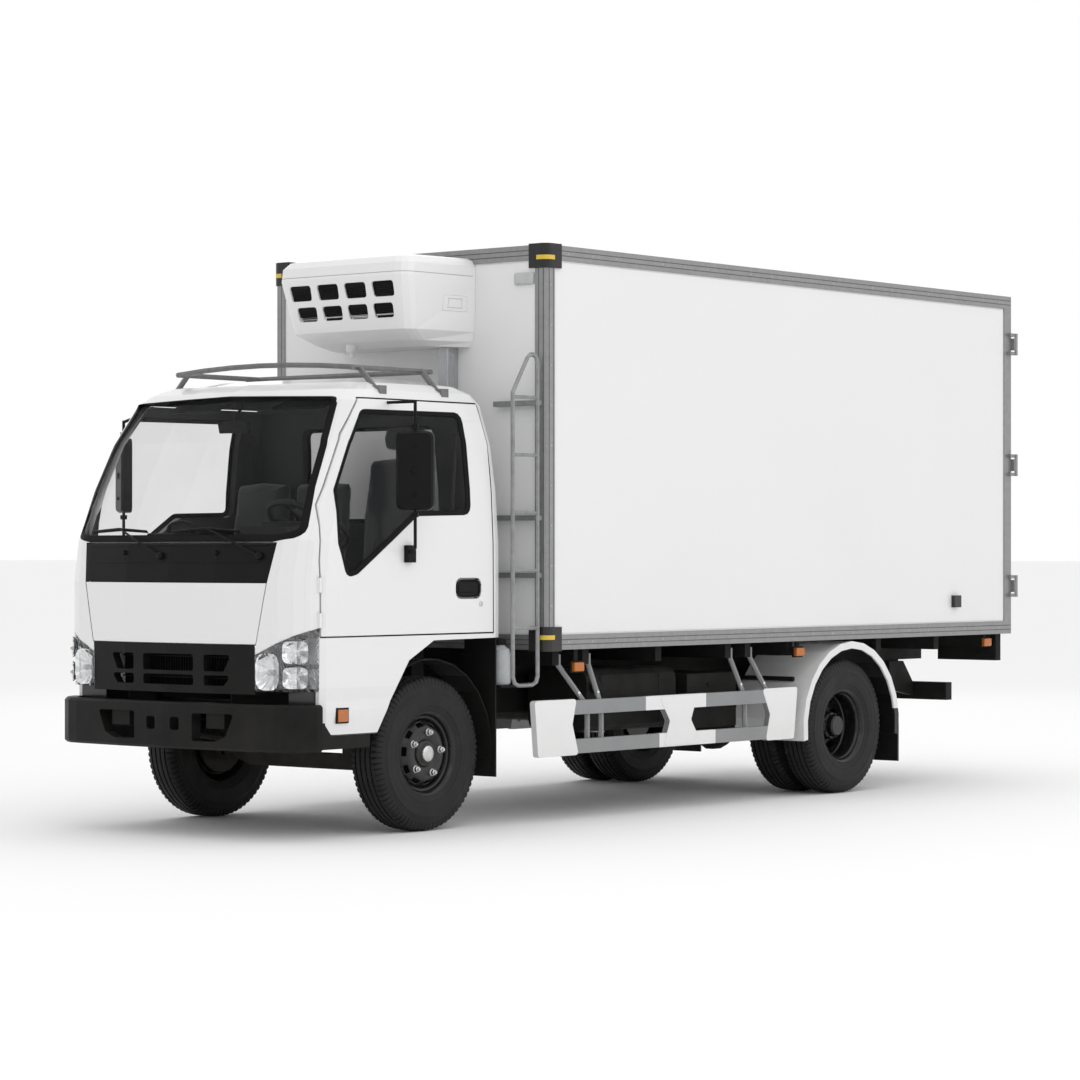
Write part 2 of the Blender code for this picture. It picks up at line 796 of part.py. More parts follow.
def hinge_lugs(side):
    """The lugs that hold the hinge pins to the pillar."""
    x, y = hinge_axis(side)
    half = HINGE_PIN_LENGTH / 2
    outer = x + side * HINGE_PIN_RADIUS * 0.8
    inner = x - side * HINGE_PIN_RADIUS * 3
    front = pillar_edge() - HINGE_PIN_RADIUS * 2
    return [block((min(outer, inner), front, middle - half), (max(outer, inner), y, middle + half))
            for middle in hinge_heights()]


def firewall():
    """The wall and shelf behind the grille and lamps, cut to the cab's form."""
    shelf_low = CAB_BOTTOM + NOSE_TOP_SHARE * CAB_HEIGHT
    shelf_high = CAB_BOTTOM + LID_BOTTOM_SHARE * CAB_HEIGHT + SHELL_LEDGE
    front = pillar_edge()
    back = front + PANEL_DEPTH
    outline = [(back, CAB_FLOOR_Z), (back, shelf_high), (-CAB_FRONT, shelf_high), (-CAB_FRONT, shelf_low),
               (front, shelf_low), (front, CAB_FLOOR_Z)]
    return common(prism(outline, "X", -CAB_WIDTH, CAB_WIDTH), cab_form(CAB_WALL / 2))


def underside_cutters(growth):
    """What is cut from the cab's form below: its lower outline, the wheel arches and the engine's room."""
    width = CAB_WIDTH / 2 + OVERRUN
    under = prism(grown(side_outline(UNDERSIDE_SHARES), -growth), "X", -width, width)
    skin = CAB_WIDTH / 2 - CAB_WALL
    arches = rod("X", (0.0, TYRE_RADIUS), ARCH_RADIUS - growth, -skin, skin, ARCH_SIDES)
    step_y = -CAB_FLOOR_STEP + PANEL_DEPTH
    ahead = -CAB_FRONT - OVERRUN
    behind = CAB_REAR + OVERRUN
    room = [(ahead, 0.0), (behind, 0.0), (behind, CAB_REAR_FLOOR_Z), (step_y, CAB_REAR_FLOOR_Z),
            (step_y, CAB_FLOOR_Z), (ahead, CAB_FLOOR_Z)]
    middle = prism(grown(room, -growth), "X", -CAB_STEP_INSIDE + growth, CAB_STEP_INSIDE - growth)
    return [under, arches, middle]


ARCH_SIDES = 24


def cab_shell():
    """The hollow cab: roof, rear wall, pillars, floor, lower sides and the landings of its panels."""
    inside = cab_form(CAB_WALL)
    width = CAB_WIDTH / 2 + OVERRUN
    low_floor = CAB_FLOOR_Z + PANEL_DEPTH
    high_floor = CAB_REAR_FLOOR_Z + PANEL_DEPTH * 2
    room = [(-CAB_FRONT, low_floor), (-CAB_FLOOR_STEP, low_floor), (-CAB_FLOOR_STEP, high_floor),
            (CAB_REAR, high_floor), (CAB_REAR, CAB_ROOF), (-CAB_FRONT, CAB_ROOF)]
    shell = cut(cab_form(), *underside_cutters(0.0), common(inside, prism(room, "X", -width, width)))
    shell = fused(shell, firewall())
    openings = [nose_cutter(0.0), through_front(SCREEN_SHARES, 0.0, screen_depth())]
    openings += [door_cutter(-DOOR_SEAM, side) for side in (1.0, -1.0)]
    landing = -CAB_FRONT * LANDING_SHARE
    openings += [through_front(COWL_AND_LID_SHARES, SHELL_LEDGE, landing, SHELL_LEDGE), panel_recess()]
    rear_outline = rounded(front_outline(both_sides(REAR_WINDOW_SHARES)), CAB_WALL)
    openings.append(prism(rear_outline, "Y", CAB_REAR / 2, CAB_REAR + OVERRUN))
    shell = cut(shell, *openings)
    pins = []
    for side in (1.0, -1.0):
        pins += hinge_pins(side) + hinge_lugs(side)
    return fused(shell, *pins)


# How far back the cuts of the front panels and of the windscreen reach, as shares of the cab's front reach
LANDING_SHARE = 0.80
SKIN_REACH_SHARE = 0.70
SCREEN_REACH_SHARE = 0.30


def panel_recess():
    """The shallow step in the shell's front that the cowl and the lid lie in."""
    outline = grown(front_outline(both_sides(COWL_AND_LID_SHARES)), SEAM)
    zone = prism(outline, "Y", -CAB_FRONT - OVERRUN, -CAB_FRONT * SKIN_REACH_SHARE)
    return cut(zone, cab_form(PANEL_DEPTH + SEAT_GAP))


def nose_cutter(growth):
    """The space of the grille and the lamps in the cab's nose."""
    outline = grown(front_outline(both_sides(NOSE_SHARES)), growth)
    return prism(outline, "Y", -CAB_FRONT - OVERRUN, pillar_edge() + growth)


def front_skin(shares, inset, depth):
    """A panel of the cab's front that follows its outer form."""
    outline = grown(front_outline(both_sides(shares)), -inset)
    zone = prism(outline, "Y", -CAB_FRONT - OVERRUN, -CAB_FRONT * SKIN_REACH_SHARE)
    return cut(common(cab_form(), zone), cab_form(depth))


def windscreen():
    """The bowed windscreen in its opening."""
    zone = through_front(SCREEN_SHARES, SEAT_GAP, screen_depth())
    return cut(common(cab_form(GLASS_INSET), zone), cab_form(GLASS_INSET + GLASS))


def rear_window():
    """The flat glass in the cab's rear wall."""
    outline = rounded(grown(front_outline(both_sides(REAR_WINDOW_SHARES)), -SEAT_GAP), CAB_WALL)
    zone = prism(outline, "Y", CAB_REAR / 2, CAB_REAR + OVERRUN)
    return cut(common(cab_form(GLASS_INSET * 2), zone), cab_form(GLASS_INSET * 2 + GLASS))


def grille():
    """The black grille panel with its two rows of openings."""
    far = CAB_FRONT + OVERRUN
    half = GRILLE_HALF_WIDTH
    zone = common(nose_cutter(-SEAT_GAP), block((-half, -far, GRILLE_BOTTOM), (half, 0.0, CAB_ROOF)))
    panel = cut(common(cab_form(), zone), cab_form(PANEL_DEPTH * 2))
    openings = []
    height = GRILLE_TOP - GRILLE_BOTTOM
    for inner, upper_outer, lower_outer in GRILLE_OPENING_SHARES:
        for low, high in GRILLE_ROW_SHARES:
            shares = [(inner, low), (lower_outer, low), (upper_outer, high), (inner, high)]
            outline = rounded([(half * across, GRILLE_BOTTOM + height * up) for across, up in shares],
                              PANEL_DEPTH / 2, 2)
            openings.append(prism(outline, "Y", -far, -CAB_FRONT * SKIN_REACH_SHARE))
    return cut(panel, *openings)


# Grille openings: inner edge, upper outer edge and lower outer edge as shares of the half width, then rows
GRILLE_OPENING_SHARES = ((-0.435, -0.740, -0.660), (-0.310, 0.310, 0.310), (0.435, 0.740, 0.660))
GRILLE_ROW_SHARES = ((0.16, 0.37), (0.45, 0.79))


def headlamp(side):
    """A lamp unit that follows the nose's form and wraps to the cab's side."""
    inner = side * (GRILLE_HALF_WIDTH + SEAT_GAP)
    outer = side * (CAB_WIDTH / 2 + OVERRUN)
    far = CAB_FRONT + OVERRUN
    zone = common(nose_cutter(-SEAT_GAP), block((min(inner, outer), -far, LAMP_BOTTOM), (max(inner, outer), 0.0, CAB_ROOF)))
    return cut(common(cab_form(), zone), cab_form(LAMP_DEPTH))


def front_bumper():
    """The deep bumper, open behind, with recesses for its lamps and two holes."""
    ring = bumper_plan(0.0)
    inner = bumper_plan(BUMPER_THICKNESS)
    low = [(x, y, BUMPER_BOTTOM) for x, y in grown(ring, -BUMPER_EDGE)]
    body = loft([low,
                 [(x, y, BUMPER_BOTTOM + BUMPER_EDGE) for x, y in ring],
                 [(x, y, BUMPER_TOP - BUMPER_EDGE) for x, y in ring],
                 [(x, y, BUMPER_TOP) for x, y in grown(ring, -BUMPER_EDGE)]])
    hollow = prism(inner, "Z", BUMPER_BOTTOM - OVERRUN, BUMPER_TOP + OVERRUN)
    behind = block((-BUMPER_HALF_WIDTH - OVERRUN, -BUMPER_REAR, 0.0), (BUMPER_HALF_WIDTH + OVERRUN, 0.0, 1.0))
    height = BUMPER_TOP - BUMPER_BOTTOM
    tools = [hollow, behind]
    for side in (1.0, -1.0):
        for shares in BUMPER_RECESS_SHARES:
            outline = [(side * x * BUMPER_HALF_WIDTH, BUMPER_BOTTOM + z * height) for x, z in shares]
            tools.append(prism(rounded(outline, BUMPER_EDGE), "Y", -FRONT_REACH - OVERRUN, -CAB_FRONT * 0.90))
    shell = cut(body, *tools)
    arms = []
    for side in (1.0, -1.0):
        centre = side * (FRAME_WIDTH / 2 - RAIL_FLANGE / 2)
        arms.append(block((centre - RAIL_FLANGE, -FRONT_REACH + BUMPER_THICKNESS * 0.6, FRAME_BOTTOM),
                          (centre + RAIL_FLANGE, -FRAME_FRONT - SEAT_GAP, BUMPER_TOP - BUMPER_EDGE * 2)))
    return fused(shell, *arms)


# Bumper openings as shares of its half width and height: a lamp recess and a towing hole on each side
BUMPER_RECESS_SHARES = (
    ((0.230, 0.78), (0.540, 0.78), (0.480, 0.30), (0.400, 0.18), (0.230, 0.18)),
    ((0.060, 0.68), (0.130, 0.68), (0.130, 0.40), (0.060, 0.40)),
)


def bumper_plan(inset):
    """The bumper's plan outline, closed behind."""
    half = BUMPER_HALF_WIDTH - inset
    front = FRONT_REACH - inset
    corner = BUMPER_CORNER - inset
    rear = -BUMPER_REAR + OVERRUN
    points = [(half, rear), (-half, rear)]
    points += arc((-half + corner, -front + BUMPER_BOW + corner), corner, 180, 270, CAB_CORNER_STEPS)
    for step in range(1, CAB_BOW_STEPS):
        across = -1.0 + 2.0 * step / CAB_BOW_STEPS
        points.append((across * (half - corner), -front + BUMPER_BOW * across ** 2))
    points += arc((half - corner, -front + BUMPER_BOW + corner), corner, 270, 360, CAB_CORNER_STEPS)
    return points


# Cab doors, their glass and mirrors

def cab_door(side):
    """A door as thick as the cab's wall, with its window cut and a pocket for its handle."""
    leaf = cut(common(cab_form(), door_cutter(0.0, side)), cab_form(CAB_WALL))
    pocket_outline = rounded([(HANDLE_Y - HANDLE_LENGTH / 2, HANDLE_Z - HANDLE_HEIGHT / 2),
                              (HANDLE_Y + HANDLE_LENGTH / 2, HANDLE_Z - HANDLE_HEIGHT / 2),
                              (HANDLE_Y + HANDLE_LENGTH / 2, HANDLE_Z + HANDLE_HEIGHT / 2),
                              (HANDLE_Y - HANDLE_LENGTH / 2, HANDLE_Z + HANDLE_HEIGHT / 2)], HANDLE_HEIGHT / 3)
    outside = side * (CAB_WIDTH / 2 + OVERRUN)
    bottom = side * (CAB_WIDTH / 2 - HANDLE_DEPTH)
    pocket = prism(pocket_outline, "X", min(bottom, outside), max(bottom, outside))
    notches = hinge_pins(side, HINGE_NOTCH, SEAT_GAP)
    return cut(leaf, through_side(WINDOW_SHARES, 0.0, side), pocket, *notches)


def door_glass(side):
    """The side window, curved with the door."""
    inset = GLASS_INSET * 3
    zone = through_side(WINDOW_SHARES, SEAT_GAP, side)
    return cut(common(cab_form(inset), zone), cab_form(inset + GLASS))


def mirror(side, along, arm_drop):
    """A mirror head on a rod, with an upper arm and a lower foot on the door."""
    x = side * MIRROR_X
    y = -along
    head_outline = rounded([(-MIRROR_WIDTH / 2, -MIRROR_HEIGHT / 2), (MIRROR_WIDTH / 2, -MIRROR_HEIGHT / 2),
                            (MIRROR_WIDTH / 2, MIRROR_HEIGHT / 2), (-MIRROR_WIDTH / 2, MIRROR_HEIGHT / 2)],
                           MIRROR_DEPTH * 0.6)
    small = grown(head_outline, -MIRROR_DEPTH / 5)
    layers = [[(a, y - MIRROR_DEPTH / 2, b) for a, b in small],
              [(a, y - MIRROR_DEPTH / 4, b) for a, b in head_outline],
              [(a, y + MIRROR_DEPTH / 2, b) for a, b in head_outline]]
    head = loft([[(x + a, b, MIRROR_CENTRE_Z + c) for a, b, c in layer] for layer in layers])
    rotated(head, side * MIRROR_TURN, "Z", (x, y, MIRROR_CENTRE_Z))
    radius = MIRROR_ROD_RADIUS
    top = MIRROR_ROD_TOP - arm_drop
    shaft = pipe([(x, y, MIRROR_ROD_BOTTOM), (x, y, top)], radius)
    arm = pipe([(x, y, top - radius), (side * (CAB_WIDTH / 2 - MIRROR_ARM_INSET), y, MIRROR_ROD_TOP - radius)], radius)
    foot_z = MIRROR_FOOT_Z - arm_drop
    foot_arm = pipe([(x, y, MIRROR_ROD_BOTTOM + radius), (side * CAB_WIDTH / 2, y + MIRROR_FOOT, foot_z)], radius)
    foot = centred((side * CAB_WIDTH / 2, y + MIRROR_FOOT, foot_z), (MIRROR_FOOT, MIRROR_FOOT, MIRROR_FOOT * 1.5))
    whole = fused(head, shaft, arm, foot_arm, foot)
    return cut(whole, cab_form(-SEAT_GAP))


def roof_rack():
    """The tube rack: a bowed front bar, two side rails and legs that stand on the roof's edge."""
    radius = RACK_TUBE_RADIUS
    front = [(RACK_HALF_WIDTH * share, -RACK_FRONT_Y - RACK_FRONT_RISE * (1 - share ** 2),
              RACK_Z + RACK_FRONT_RISE * (1 - share ** 2)) for share in RACK_BOW_SHARES]
    parts = [pipe(front, radius)]
    parts.append(pipe([(-RACK_HALF_WIDTH, RACK_REAR_Y, RACK_Z), (RACK_HALF_WIDTH, RACK_REAR_Y, RACK_Z)], radius))
    for side in (1.0, -1.0):
        rail_start = (side * (RACK_HALF_WIDTH - radius), -RACK_FRONT_Y, RACK_Z)
        rail_end = (side * (RACK_HALF_WIDTH - radius), RACK_REAR_Y, RACK_Z)
        parts.append(pipe([rail_start, rail_end], radius))
        for y in (-RACK_FRONT_Y + radius * 4, RACK_REAR_Y - radius * 4):
            low = (side * RACK_FOOT_X, y, RACK_FOOT_Z - radius)
            high = (side * (RACK_HALF_WIDTH - radius), y, RACK_Z)
            parts.append(pipe([low, high], radius))
            parts.append(centred((side * RACK_FOOT_X, y, RACK_FOOT_Z), (RACK_FOOT, RACK_FOOT, RACK_FOOT)))
    return cut(fused(*parts), cab_form(-SEAT_GAP))


RACK_BOW_SHARES = (-1.0, -0.66, -0.33, 0.0, 0.33, 0.66, 1.0)


# Inside of the cab

def dashboard():
    """The dashboard, cut to the inside of the cab, with the steering column."""
    front = -CAB_FRONT + CAB_WALL
    outline = [(front, DASH_FLOOR_Z), (front, DASH_TOP_Z - SEAT_GAP), (front + DASH_DEPTH * 0.45, DASH_TOP_Z),
               (front + DASH_DEPTH * 0.85, DASH_TOP_Z - DASH_DEPTH * 0.12), (front + DASH_DEPTH, DASH_FLOOR_Z + DASH_DEPTH * 0.3),
               (front + DASH_DEPTH * 0.7, DASH_FLOOR_Z)]
    body = prism(outline, "X", -CAB_WIDTH / 2, CAB_WIDTH / 2)
    body = common(body, cab_form(CAB_WALL + SEAT_GAP))
    hood_y = front + DASH_DEPTH * 0.5
    wide = DASH_HOOD_WIDTH / 2
    narrow = DASH_HOOD_TOP_WIDTH / 2
    base = DASH_TOP_Z - PANEL_DEPTH
    top = DASH_TOP_Z + PANEL_DEPTH * 2
    hood = prism([(STEERING_X - wide, base), (STEERING_X - narrow, top), (STEERING_X + narrow, top), (STEERING_X + wide, base)],
                 "Y", hood_y, hood_y + DASH_DEPTH * 0.3)
    centre = Vector((STEERING_X, -STEERING_Y, STEERING_Z))
    direction = steering_direction()
    start = centre - direction * (STEERING_RIM_RADIUS * 3 + SEAT_GAP)
    column = pipe([start - direction * DASH_DEPTH * 0.75, start], STEERING_COLUMN_RADIUS, 12)
    body = fused(body, hood, column)
    for side in (1.0, -1.0):
        outside = side * CAB_WIDTH
        inside = side * (CAB_WIDTH / 2 - CAB_WALL - DASH_END_GAP)
        body = cut(body, block((min(outside, inside), pillar_edge(), 0.0), (max(outside, inside), 0.0, CAB_ROOF)))
    return body


def steering_direction():
    """The steering shaft's direction, from the column up to the driver."""
    tilt = math.radians(STEERING_TILT)
    return Vector((0.0, math.sin(tilt), math.cos(tilt)))


def steering_wheel():
    """A rim, hub and three spokes, tilted with the column."""
    rim_points = [(STEERING_WHEEL_RADIUS * math.cos(math.tau * k / 24), STEERING_WHEEL_RADIUS * math.sin(math.tau * k / 24), 0.0)
                  for k in range(20)]
    rim = pipe(rim_points, STEERING_RIM_RADIUS, closed=True)
    hub = rod("Z", (0.0, 0.0), STEERING_RIM_RADIUS * 3, -STEERING_RIM_RADIUS * 3, STEERING_RIM_RADIUS, 12)
    spokes = []
    for degrees in (-20, 200, 270):
        angle = math.radians(degrees)
        tip = (STEERING_WHEEL_RADIUS * math.cos(angle), STEERING_WHEEL_RADIUS * math.sin(angle), 0.0)
        spokes.append(pipe([(0.0, 0.0, -STEERING_RIM_RADIUS), tip], STEERING_RIM_RADIUS * 0.7))
    wheel = fused(rim, hub, *spokes)
    rotated(wheel, -STEERING_TILT, "X", (0.0, 0.0, 0.0))
    return shifted(wheel, (STEERING_X, -STEERING_Y, STEERING_Z))


def seat(centre_x, width, top, headrest):
    """A seat: base, cushion and a leaning back, all one closed solid."""
    half = width / 2
    back = SEAT_BACK_Y
    front = -SEAT_FRONT_Y
    floor = CAB_REAR_FLOOR_Z + PANEL_DEPTH * 2 + SEAT_GAP
    outline = [(front, floor), (front - SEAT_CORNER, SEAT_HEIGHT - SEAT_CORNER),
               (front, SEAT_HEIGHT), (back - SEAT_BACK_DEPTH * 1.6, SEAT_HEIGHT - SEAT_CORNER),
               (back - SEAT_BACK_DEPTH, top - SEAT_CORNER), (back - SEAT_BACK_DEPTH / 2, top),
               (back, top - SEAT_CORNER), (back - SEAT_CORNER, floor)]
    inner = [(y, max(z, floor)) for y, z in grown(outline, -SEAT_CORNER / 2)]
    inner[0] = (inner[0][0], floor)
    inner[-1] = (inner[-1][0], floor)
    rings = []
    for x, shape in ((-half, inner), (-half + SEAT_CORNER, outline), (half - SEAT_CORNER, outline), (half, inner)):
        rings.append([(centre_x + x, y, z) for y, z in shape])
    body = loft(rings)
    if not headrest:
        return body
    rest = centred((centre_x, back - SEAT_BACK_DEPTH / 2, top + SEAT_CORNER), (width / 2, SEAT_BACK_DEPTH * 0.8, SEAT_BACK_DEPTH * 1.3))
    return fused(body, rest)


# Wheels, axles and knuckles

# The tyre's half section: radius as a share from bead to tread, and place as a share of the half width
TYRE_SECTION_SHARES = ((0.000, 0.765), (0.085, 0.768), (0.450, 1.000), (0.900, 0.880), (1.000, 0.660))


def tyre(centre_x):
    """A tyre turned about its axle."""
    bead = (BEAD_RADIUS + SEAT_GAP) / math.cos(math.pi / TYRE_SEGMENTS)
    half = TYRE_WIDTH / 2
    outer = [(bead + (TYRE_RADIUS - bead) * up, half * across) for up, across in TYRE_SECTION_SHARES]
    profile = [(r, centre_x - x) for r, x in outer] + [(r, centre_x + x) for r, x in reversed(outer)]
    return turned(profile, "X", (0.0, TYRE_RADIUS), TYRE_SEGMENTS)


def rim_well(middle, disc_front, disc_back):
    """A rim's section from its disc's outer side over both flanges to the disc's inner side."""
    half = RIM_WIDTH / 2
    edge = half + RIM_LIP
    under = BEAD_RADIUS - RIM_WALL
    flange = BEAD_RADIUS + RIM_FLANGE
    return [(under, disc_front), (under, middle + edge), (flange, middle + edge), (BEAD_RADIUS, middle + half),
            (BEAD_RADIUS, middle - half), (flange, middle - edge), (under, middle - edge), (under, disc_back)]


def front_rim(side):
    """A front wheel's rim with its disc, hub and cap, bored for the spindle."""
    reach = FRONT_DISC_REACH
    back = reach - RIM_WALL * 2
    bore = (SPINDLE_RADIUS + SEAT_GAP) / math.cos(math.pi / RIM_SEGMENTS)
    profile = [(HUB_CAP_RADIUS * 0.8, reach + HUB_CAP_LENGTH), (HUB_CAP_RADIUS, reach + HUB_CAP_LENGTH * 0.7),
               (HUB_CAP_RADIUS, reach), (DISC_RADIUS, reach)]
    profile += rim_well(0.0, RIM_WALL, 0.0)
    profile += [(DISC_RADIUS - RIM_WALL, back), (HUB_RADIUS, back), (HUB_RADIUS, -RIM_WALL * 2),
                (bore, -RIM_WALL * 2), (bore, reach / 2)]
    centre_x = side * FRONT_TRACK / 2
    return solid_turned([(r, centre_x + side * x) for r, x in profile], "X", (0.0, TYRE_RADIUS), RIM_SEGMENTS)


def rear_rim(side):
    """The rims of a twin wheel with their discs, hub and drum, as one solid."""
    spread = DUAL_SPACING / 2
    dish = spread - REAR_DISC_SETBACK
    bore = (AXLE_TUBE_RADIUS + SEAT_GAP) / math.cos(math.pi / RIM_SEGMENTS)
    hub = HUB_RADIUS * 1.2
    drum = spread + RIM_WALL * 5
    profile = [(HUB_CAP_RADIUS, spread + HUB_RADIUS), (hub, spread), (hub, RIM_WALL), (DRUM_RADIUS, RIM_WALL)]
    profile += rim_well(spread, dish, dish - RIM_WALL)
    profile += [(DISC_RADIUS, 0.0)]
    profile += rim_well(-spread, RIM_WALL - dish, -dish)
    profile += [(DRUM_RADIUS, -RIM_WALL), (DRUM_RADIUS, -drum), (bore, -drum), (bore, rear_axle_reach())]
    middle = side * REAR_TRACK / 2
    return solid_turned([(r, middle + side * x) for r, x in profile], "X", (0.0, TYRE_RADIUS), RIM_SEGMENTS)


def rear_axle_reach():
    """How far the axle tube reaches into a twin wheel's hub, from the middle of the wheel."""
    return DUAL_SPACING * 0.4


def knuckle(side):
    """A steering knuckle: fork round the kingpin boss, brake plate and spindle."""
    pin_x = side * KINGPIN_X
    half = KINGPIN_BOSS_HEIGHT / 2
    outer = side * (KINGPIN_X + KINGPIN_BOSS_RADIUS + SEAT_GAP * 4)
    web_end = outer + side * KNUCKLE_ARM
    width = KINGPIN_BOSS_RADIUS
    z = TYRE_RADIUS
    parts = [block((min(outer, web_end), -width, z - half - KNUCKLE_ARM), (max(outer, web_end), width, z + half + KNUCKLE_ARM))]
    for low in (z - half - KNUCKLE_ARM, z + half + SEAT_GAP):
        arm = block((min(pin_x - side * width, web_end - side * KNUCKLE_ARM / 2), -width, low),
                    (max(pin_x - side * width, web_end - side * KNUCKLE_ARM / 2), width, low + KNUCKLE_ARM - SEAT_GAP))
        parts.append(arm)
    parts.append(rod("X", (0.0, z), BRAKE_PLATE_RADIUS, min(web_end - side * SEAT_GAP, web_end + side * BRAKE_PLATE_WIDTH),
                     max(web_end - side * SEAT_GAP, web_end + side * BRAKE_PLATE_WIDTH), 16))
    tip = side * (FRONT_TRACK / 2 + FRONT_DISC_REACH / 2 - SEAT_GAP)
    parts.append(rod("X", (0.0, z), SPINDLE_RADIUS, min(web_end, tip), max(web_end, tip), 10))
    body = fused(*parts)
    return body


def leaf_spring(centre_x, axle_y, length, leaves, base_z):
    """A bowed pack of leaves with an eye at each end."""
    half = length / 2
    thickness = SPRING_LEAF * leaves
    top = []
    bottom = []
    for step in range(SPRING_STEPS + 1):
        share = -1.0 + 2.0 * step / SPRING_STEPS
        rise = base_z + SPRING_RISE * share ** 2
        leaf = SPRING_LEAF + (thickness - SPRING_LEAF) * (1.0 - abs(share))
        top.append((axle_y + half * share, rise + thickness))
        bottom.append((axle_y + half * share, rise + thickness - leaf))
    body = prism(bottom + list(reversed(top)), "X", centre_x - SPRING_WIDTH / 2, centre_x + SPRING_WIDTH / 2)
    eyes = []
    for y in (axle_y - half, axle_y + half):
        centre = (y, base_z + SPRING_RISE + thickness - SPRING_LEAF / 2)
        eyes.append(rod("X", centre, SPRING_EYE_RADIUS, centre_x - SPRING_WIDTH / 2 - SEAT_GAP * 2,
                        centre_x + SPRING_WIDTH / 2 + SEAT_GAP * 2, 8))
    return [body] + eyes


SPRING_STEPS = 6


def front_axle():
    """The forged beam with its kingpin bosses, and the two front springs clamped to it."""
    z = TYRE_RADIUS
    half = BEAM_WIDTH / 2
    low = z - BEAM_DROP
    end = KINGPIN_X
    kick = FRONT_SPRING_X + SPRING_WIDTH
    outline = [(-end, z - BEAM_HEIGHT / 2), (-kick, low - BEAM_HEIGHT / 2), (kick, low - BEAM_HEIGHT / 2), (end, z - BEAM_HEIGHT / 2),
               (end, z + BEAM_HEIGHT / 2), (kick, low + BEAM_HEIGHT / 2), (-kick, low + BEAM_HEIGHT / 2), (-end, z + BEAM_HEIGHT / 2)]
    parts = [prism(outline, "Y", -half, half)]
    boss = KINGPIN_BOSS_HEIGHT / 2
    for side in (1.0, -1.0):
        parts.append(rod("Z", (side * KINGPIN_X, 0.0), KINGPIN_BOSS_RADIUS, z - boss, z + boss - SEAT_GAP, 12))
        base = low + BEAM_HEIGHT / 2 + SPRING_PAD_HEIGHT
        parts += leaf_spring(side * FRONT_SPRING_X, 0.0, FRONT_SPRING_LENGTH, FRONT_SPRING_LEAVES, base)
        parts.append(block((side * FRONT_SPRING_X - half, -half * 2, base - SPRING_PAD_HEIGHT * 1.5),
                           (side * FRONT_SPRING_X + half, half * 2, base + SPRING_LEAF)))
    return fused(*parts)


def rear_axle():
    """The housing with its differential, and the two rear springs clamped on it."""
    z = TYRE_RADIUS
    y = WHEELBASE
    tip = REAR_TRACK / 2 + rear_axle_reach() - SEAT_GAP
    tube = rod("X", (y, z), AXLE_TUBE_RADIUS, -tip, tip, 12)
    half = DIFFERENTIAL_WIDTH / 2
    bulb = solid_turned([(AXLE_TUBE_RADIUS * 1.1, -half * 1.5), (DIFFERENTIAL_RADIUS * 0.85, -half * 0.6), (DIFFERENTIAL_RADIUS, -half * 0.2),
                         (DIFFERENTIAL_RADIUS, half * 0.2), (DIFFERENTIAL_RADIUS * 0.85, half * 0.6), (AXLE_TUBE_RADIUS * 1.1, half * 1.5)],
                        "X", (y, z), 14)
    nose = pipe([(0.0, y, z), (0.0, y - DIFFERENTIAL_RADIUS * 1.6, z + BEAM_DROP / 3)], AXLE_TUBE_RADIUS, 8)
    parts = [tube, bulb, nose]
    base = z + AXLE_TUBE_RADIUS + SPRING_PAD_HEIGHT / 2
    for side in (1.0, -1.0):
        x = side * REAR_SPRING_X
        parts += leaf_spring(x, y, REAR_SPRING_LENGTH, REAR_SPRING_LEAVES, base)
        parts.append(block((x - BEAM_WIDTH / 2, y - BEAM_WIDTH, z), (x + BEAM_WIDTH / 2, y + BEAM_WIDTH, base + SPRING_LEAF)))
    return fused(*parts)


# Chassis and drive line

def spring_eye(axle_y, length, leaves, base_z):
    """The places of a spring's two eyes."""
    z = base_z + SPRING_RISE + SPRING_LEAF * (leaves - 0.5)
    return [(axle_y - length / 2, z), (axle_y + length / 2, z)]


